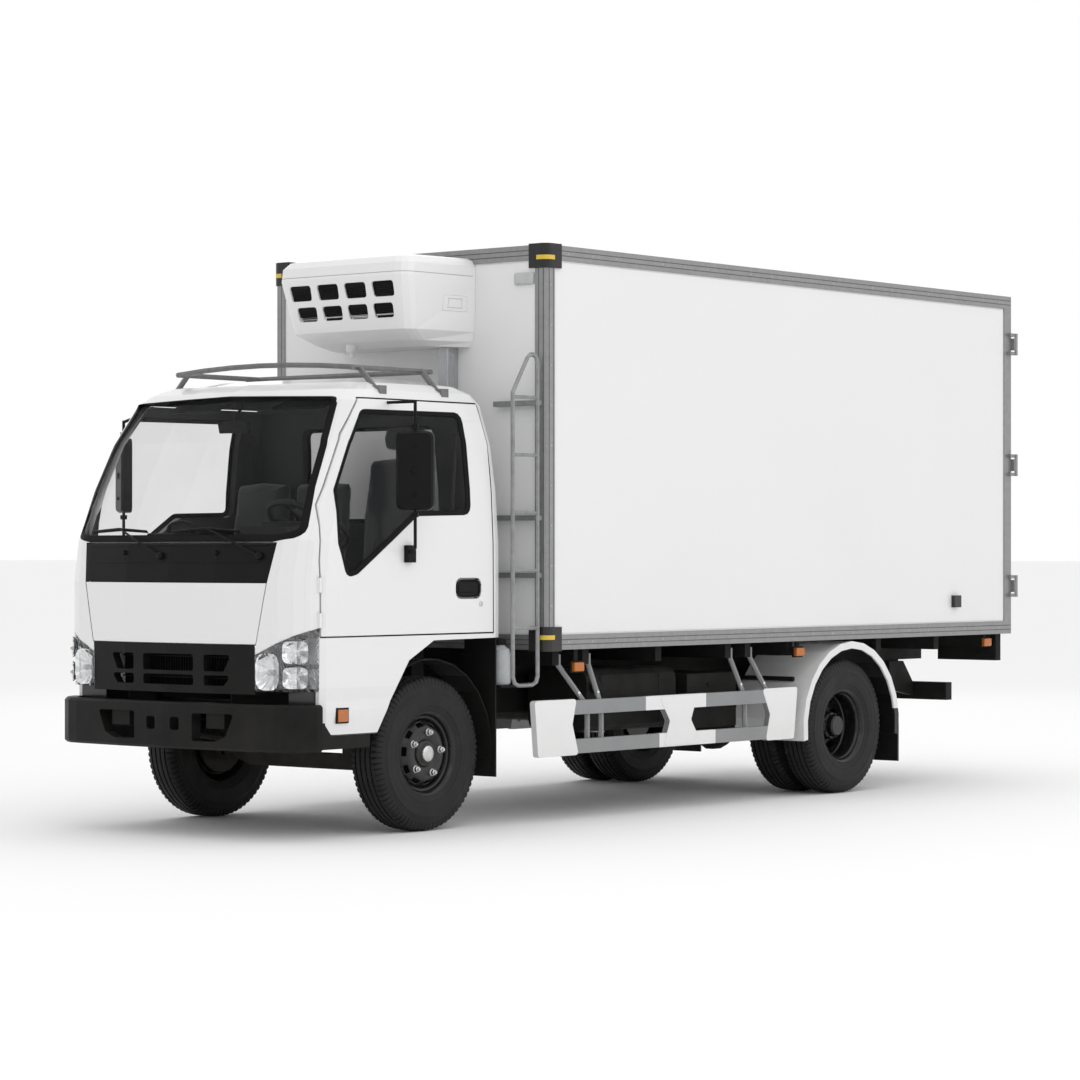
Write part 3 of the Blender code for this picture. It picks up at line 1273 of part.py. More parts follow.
def chassis_frame():
    """Two channel rails with round cross members, spring hangers and cab mounts."""
    half = FRAME_WIDTH / 2
    parts = []
    for side in (1.0, -1.0):
        web = side * half
        inner = side * (half - RAIL_WALL)
        flange = side * (half - RAIL_FLANGE)
        outline = [(web, FRAME_BOTTOM), (web, FRAME_TOP), (flange, FRAME_TOP), (flange, FRAME_TOP - RAIL_WALL),
                   (inner, FRAME_TOP - RAIL_WALL), (inner, FRAME_BOTTOM + RAIL_WALL), (flange, FRAME_BOTTOM + RAIL_WALL),
                   (flange, FRAME_BOTTOM)]
        parts.append(prism(outline, "Y", -FRAME_FRONT, FRAME_REAR))
        for y in (-CAB_FRONT * 0.62, CAB_REAR * 0.80):
            top = (CAB_FLOOR_Z if y < 0 else CAB_REAR_FLOOR_Z) - SEAT_GAP
            x = side * (half - RAIL_FLANGE / 2)
            parts.append(block((x - CAB_MOUNT_WIDTH / 2, y - CAB_MOUNT_WIDTH / 2, FRAME_TOP - RAIL_WALL / 2),
                               (x + CAB_MOUNT_WIDTH / 2, y + CAB_MOUNT_WIDTH / 2, top)))
        front_base = TYRE_RADIUS - BEAM_DROP + BEAM_HEIGHT / 2 + SPRING_PAD_HEIGHT
        rear_base = TYRE_RADIUS + AXLE_TUBE_RADIUS + SPRING_PAD_HEIGHT / 2
        places = [(FRONT_SPRING_X, eye) for eye in spring_eye(0.0, FRONT_SPRING_LENGTH, FRONT_SPRING_LEAVES, front_base)]
        places += [(REAR_SPRING_X, eye) for eye in spring_eye(WHEELBASE, REAR_SPRING_LENGTH, REAR_SPRING_LEAVES, rear_base)]
        for x, (y, z) in places:
            low = z + SPRING_EYE_RADIUS + SEAT_GAP
            high = max(FRAME_BOTTOM + RAIL_WALL * 2, low + HANGER_LENGTH)
            inside = min(x - HANGER_WIDTH / 2, half - RAIL_WALL)
            outside = x + HANGER_WIDTH / 2
            parts.append(block((min(side * inside, side * outside), y - HANGER_LENGTH / 2, low),
                               (max(side * inside, side * outside), y + HANGER_LENGTH / 2, high)))
    middle = (FRAME_TOP + FRAME_BOTTOM) / 2
    for y in CROSS_MEMBER_YS:
        parts.append(rod("X", (y, middle), CROSS_TUBE_RADIUS, -half + RAIL_WALL / 2, half - RAIL_WALL / 2, 8))
    return fused(*parts)


# Cross members, behind the front axle
CROSS_MEMBER_YS = (-0.700, 1.050, 1.600, 2.450, 3.120, 3.900, 4.640)


def engine_block():
    """The engine as one plain block with lugs that reach into the rails."""
    half = ENGINE_WIDTH / 2
    body = block((-half, -ENGINE_FRONT, ENGINE_BOTTOM), (half, ENGINE_REAR, ENGINE_TOP))
    lug = FRAME_WIDTH / 2 - RAIL_WALL - SEAT_GAP
    z = (FRAME_TOP + FRAME_BOTTOM) / 2
    lugs = block((-lug, -ENGINE_LUG / 2, z - ENGINE_LUG / 2), (lug, ENGINE_LUG / 2, z + ENGINE_LUG / 2))
    return fused(body, lugs)


def gearbox_and_propshaft():
    """The gearbox behind the engine and the shaft to the rear axle."""
    start = ENGINE_REAR + SEAT_GAP
    end = start + GEARBOX_LENGTH
    box = solid_turned([(GEARBOX_RADIUS, start), (GEARBOX_RADIUS, start + GEARBOX_LENGTH * 0.3), (GEARBOX_RADIUS * 0.7, start + GEARBOX_LENGTH * 0.5),
                        (GEARBOX_RADIUS * 0.5, end)], "Y", (0.0, DRIVE_LINE_Z), 10)
    pinion_y = WHEELBASE - DIFFERENTIAL_RADIUS * 1.6
    pinion_z = TYRE_RADIUS + BEAM_DROP / 3
    away = (Vector((0.0, pinion_y, pinion_z)) - Vector((0.0, WHEELBASE, TYRE_RADIUS))).normalized()
    tip = Vector((0.0, pinion_y, pinion_z)) + away * PROPSHAFT_RADIUS * 0.6
    shaft = pipe([(0.0, end - PROPSHAFT_RADIUS, DRIVE_LINE_Z), tip], PROPSHAFT_RADIUS, 8)
    whole = fused(box, shaft)
    face = pipe([(0.0, WHEELBASE, TYRE_RADIUS), Vector((0.0, pinion_y, pinion_z)) + away * SEAT_GAP], AXLE_TUBE_RADIUS * 2, 12)
    return cut(whole, face)


# The insulated box

def box_size():
    """The box's outer corners."""
    half = BOX_WIDTH / 2
    return (-half, BOX_FRONT_Y, BOX_BOTTOM), (half, BOX_REAR_Y, BOX_TOP)


def edge_frame():
    """The aluminium profiles along every edge of the box, with the portal round its doors."""
    low, high = box_size()
    body = prism(box_plan(), "Z", low[2], high[2])
    face = RAIL_FACE
    far = OVERRUN
    window_side = block((low[0] - far, low[1] + face * 0.85, low[2] + face), (high[0] + far, high[1] - REAR_FRAME_DEPTH, high[2] - face))
    window_top = block((low[0] + face, low[1] + face, low[2] - far), (high[0] - face, high[1] - REAR_FRAME_DEPTH, high[2] + far))
    window_front = block((low[0] + face, low[1] - far, low[2] + face), (high[0] - face, low[1] + face, high[2] - face))
    post = REAR_POST_WIDTH
    portal = block((low[0] + post, low[1] + face, low[2] + post), (high[0] - post, high[1] + far, high[2] - post))
    return cut(body, window_side, window_top, window_front, portal)


def box_hollow():
    """The inside of the edge frame, which the panels fill."""
    low, high = box_size()
    sheet = RAIL_SHEET
    plan = panel_plan(sheet)
    return prism(plan, "Z", low[2] + sheet, high[2] - sheet)


def panel_plan(inset):
    """The box's plan outline moved in by an inset, up to the rear frame."""
    low, high = box_size()
    radius = BOX_CORNER - inset
    x0, x1, y0 = low[0] + inset, high[0] - inset, low[1] + inset
    rear = high[1] - REAR_FRAME_DEPTH
    points = [(x1, rear), (x0, rear)]
    points += arc((x0 + radius, y0 + radius), radius, 180, 270, 4)
    points += arc((x1 - radius, y0 + radius), radius, 270, 360, 4)
    return points


def box_plan():
    """The box's plan outline with round front corners."""
    rear = box_size()[1][1]
    plan = panel_plan(0.0)
    return [(plan[0][0], rear), (plan[1][0], rear)] + plan[2:]


def box_panels():
    """The floor, roof, side walls and front wall, each as thick as the real sandwich panel."""
    skin = RAIL_SHEET + SEAT_GAP
    low, high = box_size()
    plan = [(x, min(y, high[1] - REAR_FRAME_DEPTH - SEAT_GAP)) for x, y in panel_plan(skin)]
    z0, z1 = low[2] + skin, high[2] - skin
    front = low[1] + skin + BOX_WALL
    rear = plan[0][1]
    x1 = high[0] - skin
    floor_top = z0 + BOX_WALL
    roof_low = z1 - BOX_WALL
    front_plan = [(x, min(y, front)) for x, y in plan]
    pieces = {
        "box_floor": prism(plan, "Z", z0, floor_top),
        "box_roof": prism(plan, "Z", roof_low, z1),
        "box_front_wall": prism(front_plan, "Z", floor_top + SEAT_GAP, roof_low - SEAT_GAP),
    }
    for name, side in (("left", 1.0), ("right", -1.0)):
        outer = side * x1
        inner = side * (x1 - BOX_WALL)
        wall = block((min(outer, inner), front + SEAT_GAP, floor_top + SEAT_GAP), (max(outer, inner), rear, roof_low - SEAT_GAP))
        catch_x = side * (high[0] + CATCH_REACH)
        y = high[1] - CATCH_DISTANCE
        half = CATCH_SIZE / 2
        catch = block((min(inner, catch_x), y - half, low[2] + CATCH_HEIGHT - half), (max(inner, catch_x), y + half, low[2] + CATCH_HEIGHT + half))
        pieces[f"box_wall_{name}"] = fused(wall, catch)
    return pieces


def rear_hinge(side):
    """The vertical axis of a rear door's hinges."""
    return (side * (BOX_WIDTH / 2 + BOX_HINGE_OUT), BOX_REAR_Y + BOX_HINGE_BACK)


# The hinges' middles and the lock rods' places, as shares of the door's height and width
BOX_HINGE_SHARES = (0.12, 0.50, 0.88)
LOCK_ROD_SHARES = (0.30, 0.86)


def box_door(side):
    """A full height rear door with its hinge straps, barrels, lock rods and handles."""
    low, high = box_size()
    outer = side * (high[0] - REAR_POST_WIDTH - BOX_DOOR_SEAM)
    inner = side * BOX_DOOR_MIDDLE / 2
    bottom = low[2] + REAR_POST_WIDTH + BOX_DOOR_SEAM
    top = high[2] - REAR_POST_WIDTH - BOX_DOOR_SEAM
    rear = BOX_REAR_Y
    front = rear - BOX_DOOR_DEPTH
    parts = [block((min(outer, inner), front, bottom), (max(outer, inner), rear, top))]
    axis = rear_hinge(side)
    for share in BOX_HINGE_SHARES:
        z = bottom + (top - bottom) * share
        half = BOX_HINGE_HEIGHT / 2
        inside = side * (abs(axis[0]) - BOX_HINGE_REACH)
        on_leaf = outer - side * BOX_DOOR_SEAM
        near = axis[0] - side * BOX_HINGE_RADIUS * 0.8
        over = rear + SEAT_GAP * 2
        tall = half * 0.8
        for x, y, end in ((axis[0], over, rear + BOX_HINGE_STRAP), (on_leaf, rear - BOX_HINGE_STRAP, rear + BOX_HINGE_STRAP)):
            parts.append(block((min(inside, x), y, z - tall), (max(inside, x), end, z + tall)))
        parts.append(block((min(axis[0], near), over, z - tall), (max(axis[0], near), axis[1], z + tall)))
        parts.append(rod("Z", axis, BOX_HINGE_RADIUS, z - half, z + half, 8))
    width = abs(outer - inner)
    for share in LOCK_ROD_SHARES:
        x = outer - side * width * share
        centre = (x, rear + LOCK_ROD_STANDOFF)
        parts.append(rod("Z", centre, LOCK_ROD_RADIUS, bottom + BOX_DOOR_SEAM * 3, top - BOX_DOOR_SEAM * 3, 6))
        for bracket in LOCK_BRACKET_SHARES:
            z = bottom + (top - bottom) * bracket
            parts.append(centred((x, rear + LOCK_ROD_STANDOFF / 2, z), (LOCK_ROD_RADIUS * 4, LOCK_ROD_STANDOFF, LOCK_ROD_RADIUS * 4)))
        z = bottom + (top - bottom) * LOCK_HANDLE_SHARE
        reach = side * width * 0.2
        parts.append(block((min(x, x + reach), rear + LOCK_ROD_STANDOFF * 0.8, z - LOCK_ROD_RADIUS),
                           (max(x, x + reach), rear + LOCK_ROD_STANDOFF * 1.5, z + LOCK_ROD_RADIUS)))
    body = fused(*parts)
    pins = [hinge_pin(side, low_z, high_z, BOX_HINGE_PLAY) for low_z, high_z in pin_spans()]
    return cut(body, *pins)


LOCK_BRACKET_SHARES = (0.07, 0.50, 0.93)
LOCK_HANDLE_SHARE = 0.28


def door_heights():
    """The rear doors' bottom and top."""
    low, high = box_size()
    return low[2] + REAR_POST_WIDTH + BOX_DOOR_SEAM, high[2] - REAR_POST_WIDTH - BOX_DOOR_SEAM


def pin_spans():
    """The height of each rear hinge pin, a little over its barrel."""
    bottom, top = door_heights()
    spans = []
    for share in BOX_HINGE_SHARES:
        z = bottom + (top - bottom) * share
        half = BOX_HINGE_HEIGHT / 2
        spans.append((z - half - BOX_HINGE_RADIUS, z + half + BOX_HINGE_RADIUS))
    return spans


def hinge_pin(side, low, high, growth):
    """A rear hinge's pin, or the bore round it."""
    return rod("Z", rear_hinge(side), BOX_HINGE_PIN_RADIUS + growth, low - growth, high + growth, 8)


def hinge_brackets():
    """The brackets on the rear frame that hold the rear doors' hinge pins."""
    parts = []
    half = BOX_WIDTH / 2
    for side in (1.0, -1.0):
        axis = rear_hinge(side)
        for low, high in pin_spans():
            parts.append(hinge_pin(side, low, high, 0.0))
            for base, end in ((low - BOX_HINGE_RADIUS, low + BOX_HINGE_RADIUS - SEAT_GAP), (high - BOX_HINGE_RADIUS + SEAT_GAP, high + BOX_HINGE_RADIUS)):
                wall = side * (half - RAIL_SHEET / 2)
                outside = side * (half + BOX_HINGE_OUT)
                parts.append(block((min(wall, outside), BOX_REAR_Y - RAIL_FACE / 2, base), (max(wall, outside), axis[1], end)))
                parts.append(rod("Z", axis, BOX_HINGE_RADIUS, base, end, 10))
    return parts


def corner_caps():
    """The castings on the box's four front corners."""
    low, high = box_size()
    sheet = CAP_SHEET
    radius = BOX_CORNER + sheet
    x1 = high[0] + sheet
    y0 = low[1] - sheet
    reach = CAP_REACH + radius
    caps = []
    for side in (1.0, -1.0):
        for base, end in ((high[2] - CAP_HEIGHT, high[2] + sheet), (low[2] - sheet, low[2] + CAP_HEIGHT)):
            outline = [(x1, y0 + reach), (x1 - reach, y0 + reach), (x1 - reach, y0)]
            outline += arc((x1 - radius, y0 + radius), radius, 270, 360, 4)
            caps.append(prism([(side * x, y) for x, y in outline], "Z", base, end))
    return caps


def box_subframe():
    """Two long sills on the chassis rails with cross bearers under the box's floor."""
    half = FRAME_WIDTH / 2
    top = BOX_BOTTOM - SEAT_GAP
    base = FRAME_TOP + SEAT_GAP
    parts = []
    for side in (1.0, -1.0):
        x = side * (half - SUBFRAME_WIDTH / 2)
        parts.append(block((x - SUBFRAME_WIDTH / 2, BOX_FRONT_Y + RAIL_FACE, base), (x + SUBFRAME_WIDTH / 2, BOX_REAR_Y - REAR_FRAME_DEPTH, top - BEARER_HEIGHT * 0.4)))
    reach = BOX_WIDTH / 2 - RAIL_FACE
    for share in BEARER_SHARES:
        y = bearer_y(share)
        parts.append(block((-reach, y - BEARER_WIDTH / 2, top - BEARER_HEIGHT), (reach, y + BEARER_WIDTH / 2, top)))
    for side in (1.0, -1.0):
        parts += lamp_carrier(side)
    return fused(*parts)


# Cross bearers along the box, as shares of its length, with none over the rear wheels
BEARER_SHARES = (0.037, 0.092, 0.230, 0.370, 0.411, 0.500, 0.700, 0.838, 0.975)


def bearer_y(share):
    """The middle of a cross bearer along the truck."""
    return BOX_FRONT_Y + (BOX_REAR_Y - BOX_FRONT_Y) * share


# Refrigeration

# The unit's levels: height, half width at the wall, half width at the front and depth, all as shares
UNIT_SECTION_SHARES = (
    (0.000, 0.930, 0.700, 0.46),
    (0.060, 0.960, 0.760, 0.66),
    (0.170, 0.985, 0.850, 0.86),
    (0.700, 1.000, 0.930, 0.985),
    (0.760, 1.000, 0.935, 1.000),
    (0.900, 0.995, 0.930, 0.985),
    (0.970, 0.965, 0.880, 0.930),
    (1.000, 0.900, 0.800, 0.830),
)
UNIT_VENT_ROW_SHARES = ((0.30, 0.46), (0.53, 0.70))
UNIT_VENT_SPAN_SHARES = (0.74, 0.80)
UNIT_VENT_FILL_SHARE = 0.78


def refrigeration_unit():
    """The condenser housing on the front wall, with two rows of four openings."""
    wall = BOX_FRONT_Y + RAIL_SHEET
    height = UNIT_TOP - UNIT_BOTTOM
    rings = []
    for up, back, front, depth in UNIT_SECTION_SHARES:
        z = UNIT_BOTTOM + height * up
        half_back = UNIT_HALF_WIDTH * back
        half_front = UNIT_HALF_WIDTH * front
        y = BOX_FRONT_Y - UNIT_DEPTH * depth
        plan = [(half_back, wall), (-half_back, wall), (-half_front, y), (half_front, y)]
        inner = plan[:2] + rounded(plan, UNIT_CORNER, 3)[8:]
        rings.append([(x, yy, z) for x, yy in inner])
    body = loft(rings)
    tools = []
    for (low, high), span in zip(UNIT_VENT_ROW_SHARES, UNIT_VENT_SPAN_SHARES):
        pitch = 2 * UNIT_HALF_WIDTH * span / UNIT_VENT_COLUMNS
        for column in range(UNIT_VENT_COLUMNS):
            middle = (column - (UNIT_VENT_COLUMNS - 1) / 2) * pitch
            half = pitch * UNIT_VENT_FILL_SHARE / 2
            outline = rounded([(middle - half * 0.93, UNIT_BOTTOM + height * low), (middle + half * 0.93, UNIT_BOTTOM + height * low),
                               (middle + half, UNIT_BOTTOM + height * high), (middle - half, UNIT_BOTTOM + height * high)], UNIT_CORNER / 5, 2)
            front = BOX_FRONT_Y - UNIT_DEPTH
            tools.append(prism(outline, "Y", front - OVERRUN, front + UNIT_VENT_DEPTH))
    back_rail = edge_clearance()
    return cut(body, *tools, back_rail)


def edge_clearance():
    """The space of the box's top front profile, which the unit fits round."""
    low, high = box_size()
    return block((low[0], low[1] - SEAT_GAP, high[2] - RAIL_FACE - SEAT_GAP), (high[0], high[1], high[2] + OVERRUN))


def evaporator():
    """The evaporator under the box's roof, behind the front wall."""
    wall = BOX_FRONT_Y + RAIL_SHEET + SEAT_GAP + BOX_WALL + SEAT_GAP
    roof = BOX_TOP - RAIL_SHEET - SEAT_GAP - BOX_WALL - SEAT_GAP
    half = EVAPORATOR_WIDTH / 2
    outline = [(wall, roof), (wall + EVAPORATOR_DEPTH, roof), (wall + EVAPORATOR_DEPTH, roof - EVAPORATOR_HEIGHT * 0.55),
               (wall + EVAPORATOR_DEPTH * 0.7, roof - EVAPORATOR_HEIGHT), (wall, roof - EVAPORATOR_HEIGHT)]
    body = prism(outline, "X", -half, half)
    tools = []
    for centre in (-half / 2, half / 2):
        z = roof - EVAPORATOR_HEIGHT * 0.42
        tools.append(rod("Y", (centre, z), EVAPORATOR_HEIGHT * 0.36, wall + EVAPORATOR_DEPTH * 0.85, wall + EVAPORATOR_DEPTH + OVERRUN, 16))
    return cut(body, *tools)


def service_duct():
    """The duct for pipes and cables on the front wall, below the unit."""
    wall = BOX_FRONT_Y + RAIL_SHEET
    top = UNIT_BOTTOM - SEAT_GAP
    half = DUCT_WIDTH / 2
    outline = rounded([(DUCT_X - half, wall), (DUCT_X + half, wall), (DUCT_X + half, wall - DUCT_DEPTH), (DUCT_X - half, wall - DUCT_DEPTH)],
                      DUCT_WIDTH / 10, 2)
    return prism(outline, "Z", DUCT_BOTTOM, top)


def access_ladder():
    """The narrow ladder on the box's front wall, with a hooped top and wall brackets."""
    radius = LADDER_TUBE_RADIUS
    back_y = BOX_FRONT_Y - LADDER_BACK_GAP
    front_y = back_y - LADDER_WIDTH
    x = LADDER_X
    corner = LADDER_WIDTH * 0.22
    rise = LADDER_TOP - LADDER_RUNG_TOP
    centre_low = [(front_y + corner, LADDER_BOTTOM + corner), (back_y - corner, LADDER_BOTTOM + corner)]
    outline = [(front_y, LADDER_TOP - rise * 0.9)]
    outline += arc(centre_low[0], corner, 180, 270, 2)
    outline += arc(centre_low[1], corner, 270, 360, 2)
    outline += arc((back_y - corner, LADDER_TOP - corner), corner, 0, 150, 4)
    loop = pipe([(x, y, z) for y, z in outline], radius, closed=True)
    parts = [loop]
    for index in range(LADDER_RUNG_COUNT):
        z = LADDER_RUNG_TOP - LADDER_RUNG_PITCH * index
        parts.append(rod("Y", (x, z), radius * 0.9, front_y, back_y, 6))
    wall = BOX_FRONT_Y - SEAT_GAP
    for index in LADDER_BRACKET_RUNGS:
        z = LADDER_RUNG_TOP - LADDER_RUNG_PITCH * index - radius
        parts.append(block((x - LADDER_BRACKET_LENGTH, back_y - radius / 2, z - LADDER_BRACKET_HEIGHT), (x + radius / 2, wall, z)))
    return fused(*parts)


# Side guards, mudguards and what hangs below the box

def side_guard(side):
    """Two rails with end panels, a middle plate and struts up to the cross bearers."""
    x = side * GUARD_X
    depth = GUARD_RAIL_DEPTH / 2
    half = GUARD_RAIL_HEIGHT / 2
    parts = []
    for z in (GUARD_UPPER_Z, GUARD_LOWER_Z):
        parts.append(block((x - depth, GUARD_FRONT_Y + GUARD_PANEL_LENGTH * 0.5, z - half), (x + depth, GUARD_REAR_Y - GUARD_PANEL_LENGTH * 0.5, z + half)))
    low = GUARD_LOWER_Z - half * 1.2
    high = GUARD_UPPER_Z + half * 1.2
    skin = depth * 1.12
    front = [(GUARD_FRONT_Y, high), (GUARD_FRONT_Y + GUARD_PANEL_LENGTH, high), (GUARD_FRONT_Y + GUARD_PANEL_LENGTH * 0.90, low + (high - low) * 0.55),
             (GUARD_FRONT_Y + GUARD_PANEL_LENGTH * 1.05, low), (GUARD_FRONT_Y + GUARD_PANEL_LENGTH * 0.08, low)]
    rear = [(GUARD_REAR_Y - GUARD_PANEL_LENGTH, high), (GUARD_REAR_Y, high), (GUARD_REAR_Y - GUARD_PANEL_LENGTH * 0.1, low),
            (GUARD_REAR_Y - GUARD_PANEL_LENGTH * 0.9, low), (GUARD_REAR_Y - GUARD_PANEL_LENGTH * 0.78, low + (high - low) * 0.5)]
    middle = GUARD_FRONT_Y + (GUARD_REAR_Y - GUARD_FRONT_Y) * 0.53
    reach = GUARD_PANEL_LENGTH * 0.55
    plate = [(middle - reach, high - half * 0.4), (middle + reach * 0.8, high - half * 0.4), (middle + reach * 0.5, low + (high - low) * 0.5),
             (middle + reach, low + half * 0.4), (middle - reach * 0.8, low + half * 0.4), (middle - reach * 0.5, low + (high - low) * 0.5)]
    for outline in (front, rear, plate):
        parts.append(prism(rounded(outline, GUARD_RAIL_DEPTH / 2, 2), "X", x - skin, x + skin))
    top = BOX_BOTTOM - SEAT_GAP - BEARER_HEIGHT * 0.5
    behind = side * (GUARD_X - GUARD_STRUT_RADIUS)
    inner = side * (GUARD_X - GUARD_RAIL_DEPTH - GUARD_STRUT_RADIUS * 2)
    for index, foot_share in GUARD_STRUT_SHARES:
        y = bearer_y(BEARER_SHARES[index]) + BEARER_WIDTH / 2 + GUARD_STRUT_RADIUS + SEAT_GAP
        foot_y = GUARD_FRONT_Y + (GUARD_REAR_Y - GUARD_FRONT_Y) * foot_share
        parts.append(pipe([(inner, y, top + GUARD_STRUT_RADIUS), (inner, y, top - BEARER_HEIGHT / 2), (behind, foot_y, GUARD_UPPER_Z),
                           (behind, foot_y, GUARD_LOWER_Z)], GUARD_STRUT_RADIUS))
    return fused(*parts)


# Each strut: the cross bearer that it hangs from and its foot as a share of the guard's length
GUARD_STRUT_SHARES = ((0, 0.200), (1, 0.250), (3, 0.800), (4, 0.900))


def rear_mudguard(side):
    """A half round mudguard over a twin wheel, with its outer lip and the flap behind it."""
    centre = (WHEELBASE + FENDER_SHIFT, TYRE_RADIUS)
    outside = side * FENDER_OUTSIDE
    inside = side * (FENDER_OUTSIDE - FENDER_WIDTH)
    lip_x = side * (FENDER_OUTSIDE - FENDER_SHEET)
    outer, sheet, lip = [arc(centre, FENDER_RADIUS - depth, FENDER_START, FENDER_END, FENDER_STEPS)
                         for depth in (0.0, FENDER_SHEET, FENDER_LIP)]
    rings = []
    for over, under, edge in zip(outer, sheet, lip):
        section = ((inside, over), (outside, over), (outside, edge), (lip_x, edge), (lip_x, under), (inside, under))
        rings.append([(x, y, z) for x, (y, z) in section])
    rear_y = centre[0] + FENDER_RADIUS - FENDER_SHEET
    flap = block((min(inside, outside), rear_y - FLAP_THICKNESS / 4, FLAP_BOTTOM), (max(inside, outside), rear_y + FLAP_THICKNESS, centre[1]))
    return fused(loft(rings), flap)


# The mudguard's arc in degrees, its steps, and the steps whose corners rest on the stays
FENDER_START = -8
FENDER_END = 188
FENDER_STEPS = 14
FENDER_STAY_STEPS = (3, 11)


def mudguard_stays(side):
    """Two stays from the chassis rail that carry a rear mudguard."""
    stays = []
    start = side * (FRAME_WIDTH / 2 - RAIL_WALL / 2)
    end = side * (FENDER_OUTSIDE - FENDER_WIDTH / 4)
    centre = (WHEELBASE + FENDER_SHIFT, TYRE_RADIUS)
    reach = FENDER_RADIUS + GUARD_STRUT_RADIUS * math.cos(math.pi / STAY_SIDES) + SEAT_GAP
    points = arc(centre, reach, FENDER_START, FENDER_END, FENDER_STEPS)
    for step in FENDER_STAY_STEPS:
        stays.append(rod("X", points[step], GUARD_STRUT_RADIUS, min(start, end), max(start, end), STAY_SIDES))
    return stays


def fuel_tank():
    """The fuel tank with round edges, hung from the left rail by two arms."""
    inside = TANK_INSIDE_X
    outside = inside + TANK_WIDTH
    bottom = TANK_TOP - TANK_HEIGHT
    outline = rounded([(inside, bottom), (outside, bottom), (outside, TANK_TOP), (inside, TANK_TOP)], TANK_CORNER, 3)
    parts = [prism(outline, "Y", TANK_FRONT_Y, TANK_FRONT_Y + TANK_LENGTH)]
    z = (FRAME_TOP + FRAME_BOTTOM) / 2
    half = ENGINE_LUG / 2
    for share in TANK_ARM_SHARES:
        y = TANK_FRONT_Y + TANK_LENGTH * share
        parts.append(block((FRAME_WIDTH / 2 + SEAT_GAP, y - half, z - half), (inside + TANK_CORNER, y + half, z + half)))
    return fused(*parts)


TANK_ARM_SHARES = (0.22, 0.78)


def battery_box():
    """The battery box on the left rail, behind the tank."""
    inside = FRAME_WIDTH / 2 + SEAT_GAP
    outside = TANK_INSIDE_X + TANK_WIDTH
    low = BATTERY_TOP - BATTERY_HEIGHT
    step_z = BATTERY_TOP - BATTERY_HEIGHT / 2
    outline = [(inside, step_z), (TANK_INSIDE_X, step_z), (TANK_INSIDE_X, low), (outside, low), (outside, BATTERY_TOP), (inside, BATTERY_TOP)]
    return prism(outline, "Y", BATTERY_FRONT_Y, BATTERY_FRONT_Y + BATTERY_LENGTH)


def exhaust():
    """The muffler beside the right rail with its pipe from the engine and its tail pipe."""
    x = -MUFFLER_X
    rear = MUFFLER_FRONT_Y + MUFFLER_LENGTH
    engine_x = -ENGINE_WIDTH / 4
    low = FRAME_BOTTOM - EXHAUST_DROP
    can = rod("Y", (x, MUFFLER_Z), MUFFLER_RADIUS, MUFFLER_FRONT_Y, rear, 14)
    bend = MUFFLER_RADIUS * 1.5
    down = pipe([(engine_x, ENGINE_REAR * 0.7, ENGINE_BOTTOM - SEAT_GAP), (engine_x, ENGINE_REAR * 0.7, low),
                 (engine_x, MUFFLER_FRONT_Y * 0.75, low), (x, MUFFLER_FRONT_Y - bend, MUFFLER_Z),
                 (x, MUFFLER_FRONT_Y + PIPE_RADIUS, MUFFLER_Z)], PIPE_RADIUS, 8)
    tail = pipe([(x, rear - PIPE_RADIUS, MUFFLER_Z), (x, rear + bend / 2, MUFFLER_Z), (x - bend, rear + bend, MUFFLER_Z - bend)], PIPE_RADIUS, 8)
    y = MUFFLER_FRONT_Y + MUFFLER_LENGTH / 2
    hanger = block((x, y - PIPE_RADIUS, MUFFLER_Z - PIPE_RADIUS), (-FRAME_WIDTH / 2 - SEAT_GAP, y + PIPE_RADIUS, MUFFLER_Z + PIPE_RADIUS))
    return fused(can, down, tail, hanger)


def rear_underrun():
    """The underrun bar with its arms and the two plates that carry the tail lamps."""
    half = UNDERRUN_SIZE / 2
    parts = [block((-UNDERRUN_HALF_WIDTH, UNDERRUN_Y - half * 0.6, UNDERRUN_Z - half), (UNDERRUN_HALF_WIDTH, UNDERRUN_Y + half * 0.6, UNDERRUN_Z + half))]
    for side in (1.0, -1.0):
        inner = side * (FRAME_WIDTH / 2 + SEAT_GAP)
        width = side * RAIL_WALL * 5
        outline = [(FRAME_REAR - RAIL_FACE * 2, FRAME_TOP - RAIL_WALL), (FRAME_REAR - RAIL_FACE * 2, FRAME_BOTTOM + RAIL_WALL), (UNDERRUN_Y - half * 0.5, UNDERRUN_Z - half * 0.6),
                   (UNDERRUN_Y - half * 0.5, UNDERRUN_Z + half * 0.8), (FRAME_REAR, FRAME_TOP - RAIL_WALL)]
        parts.append(prism(outline, "X", min(inner, inner + width), max(inner, inner + width)))
    return fused(*parts)


def lamp_carrier(side):
    """The plate under the box's rear corner that carries a tail lamp, hung from a cross bearer."""
    inner = side * LAMP_BAR_INSIDE
    outer = side * LAMP_BAR_OUTSIDE
    top = BOX_BOTTOM - SEAT_GAP
    plate = block((min(inner, outer), LAMP_BAR_Y, LAMP_BAR_BOTTOM), (max(inner, outer), LAMP_BAR_Y + LAMP_BAR_DEPTH, top - SEAT_GAP))
    lamp_inner = side * (LAMP_BAR_INSIDE + LAMP_BAR_DEPTH)
    lamp_outer = side * (LAMP_BAR_OUTSIDE - LAMP_BAR_DEPTH)
    lamp = block((min(lamp_inner, lamp_outer), LAMP_BAR_Y + LAMP_BAR_DEPTH / 2, LAMP_BAR_BOTTOM + LAMP_BAR_DEPTH / 2),
                 (max(lamp_inner, lamp_outer), LAMP_BAR_Y + LAMP_BAR_DEPTH * 1.5, top - LAMP_BAR_DEPTH / 2))
    return [plate, lamp]


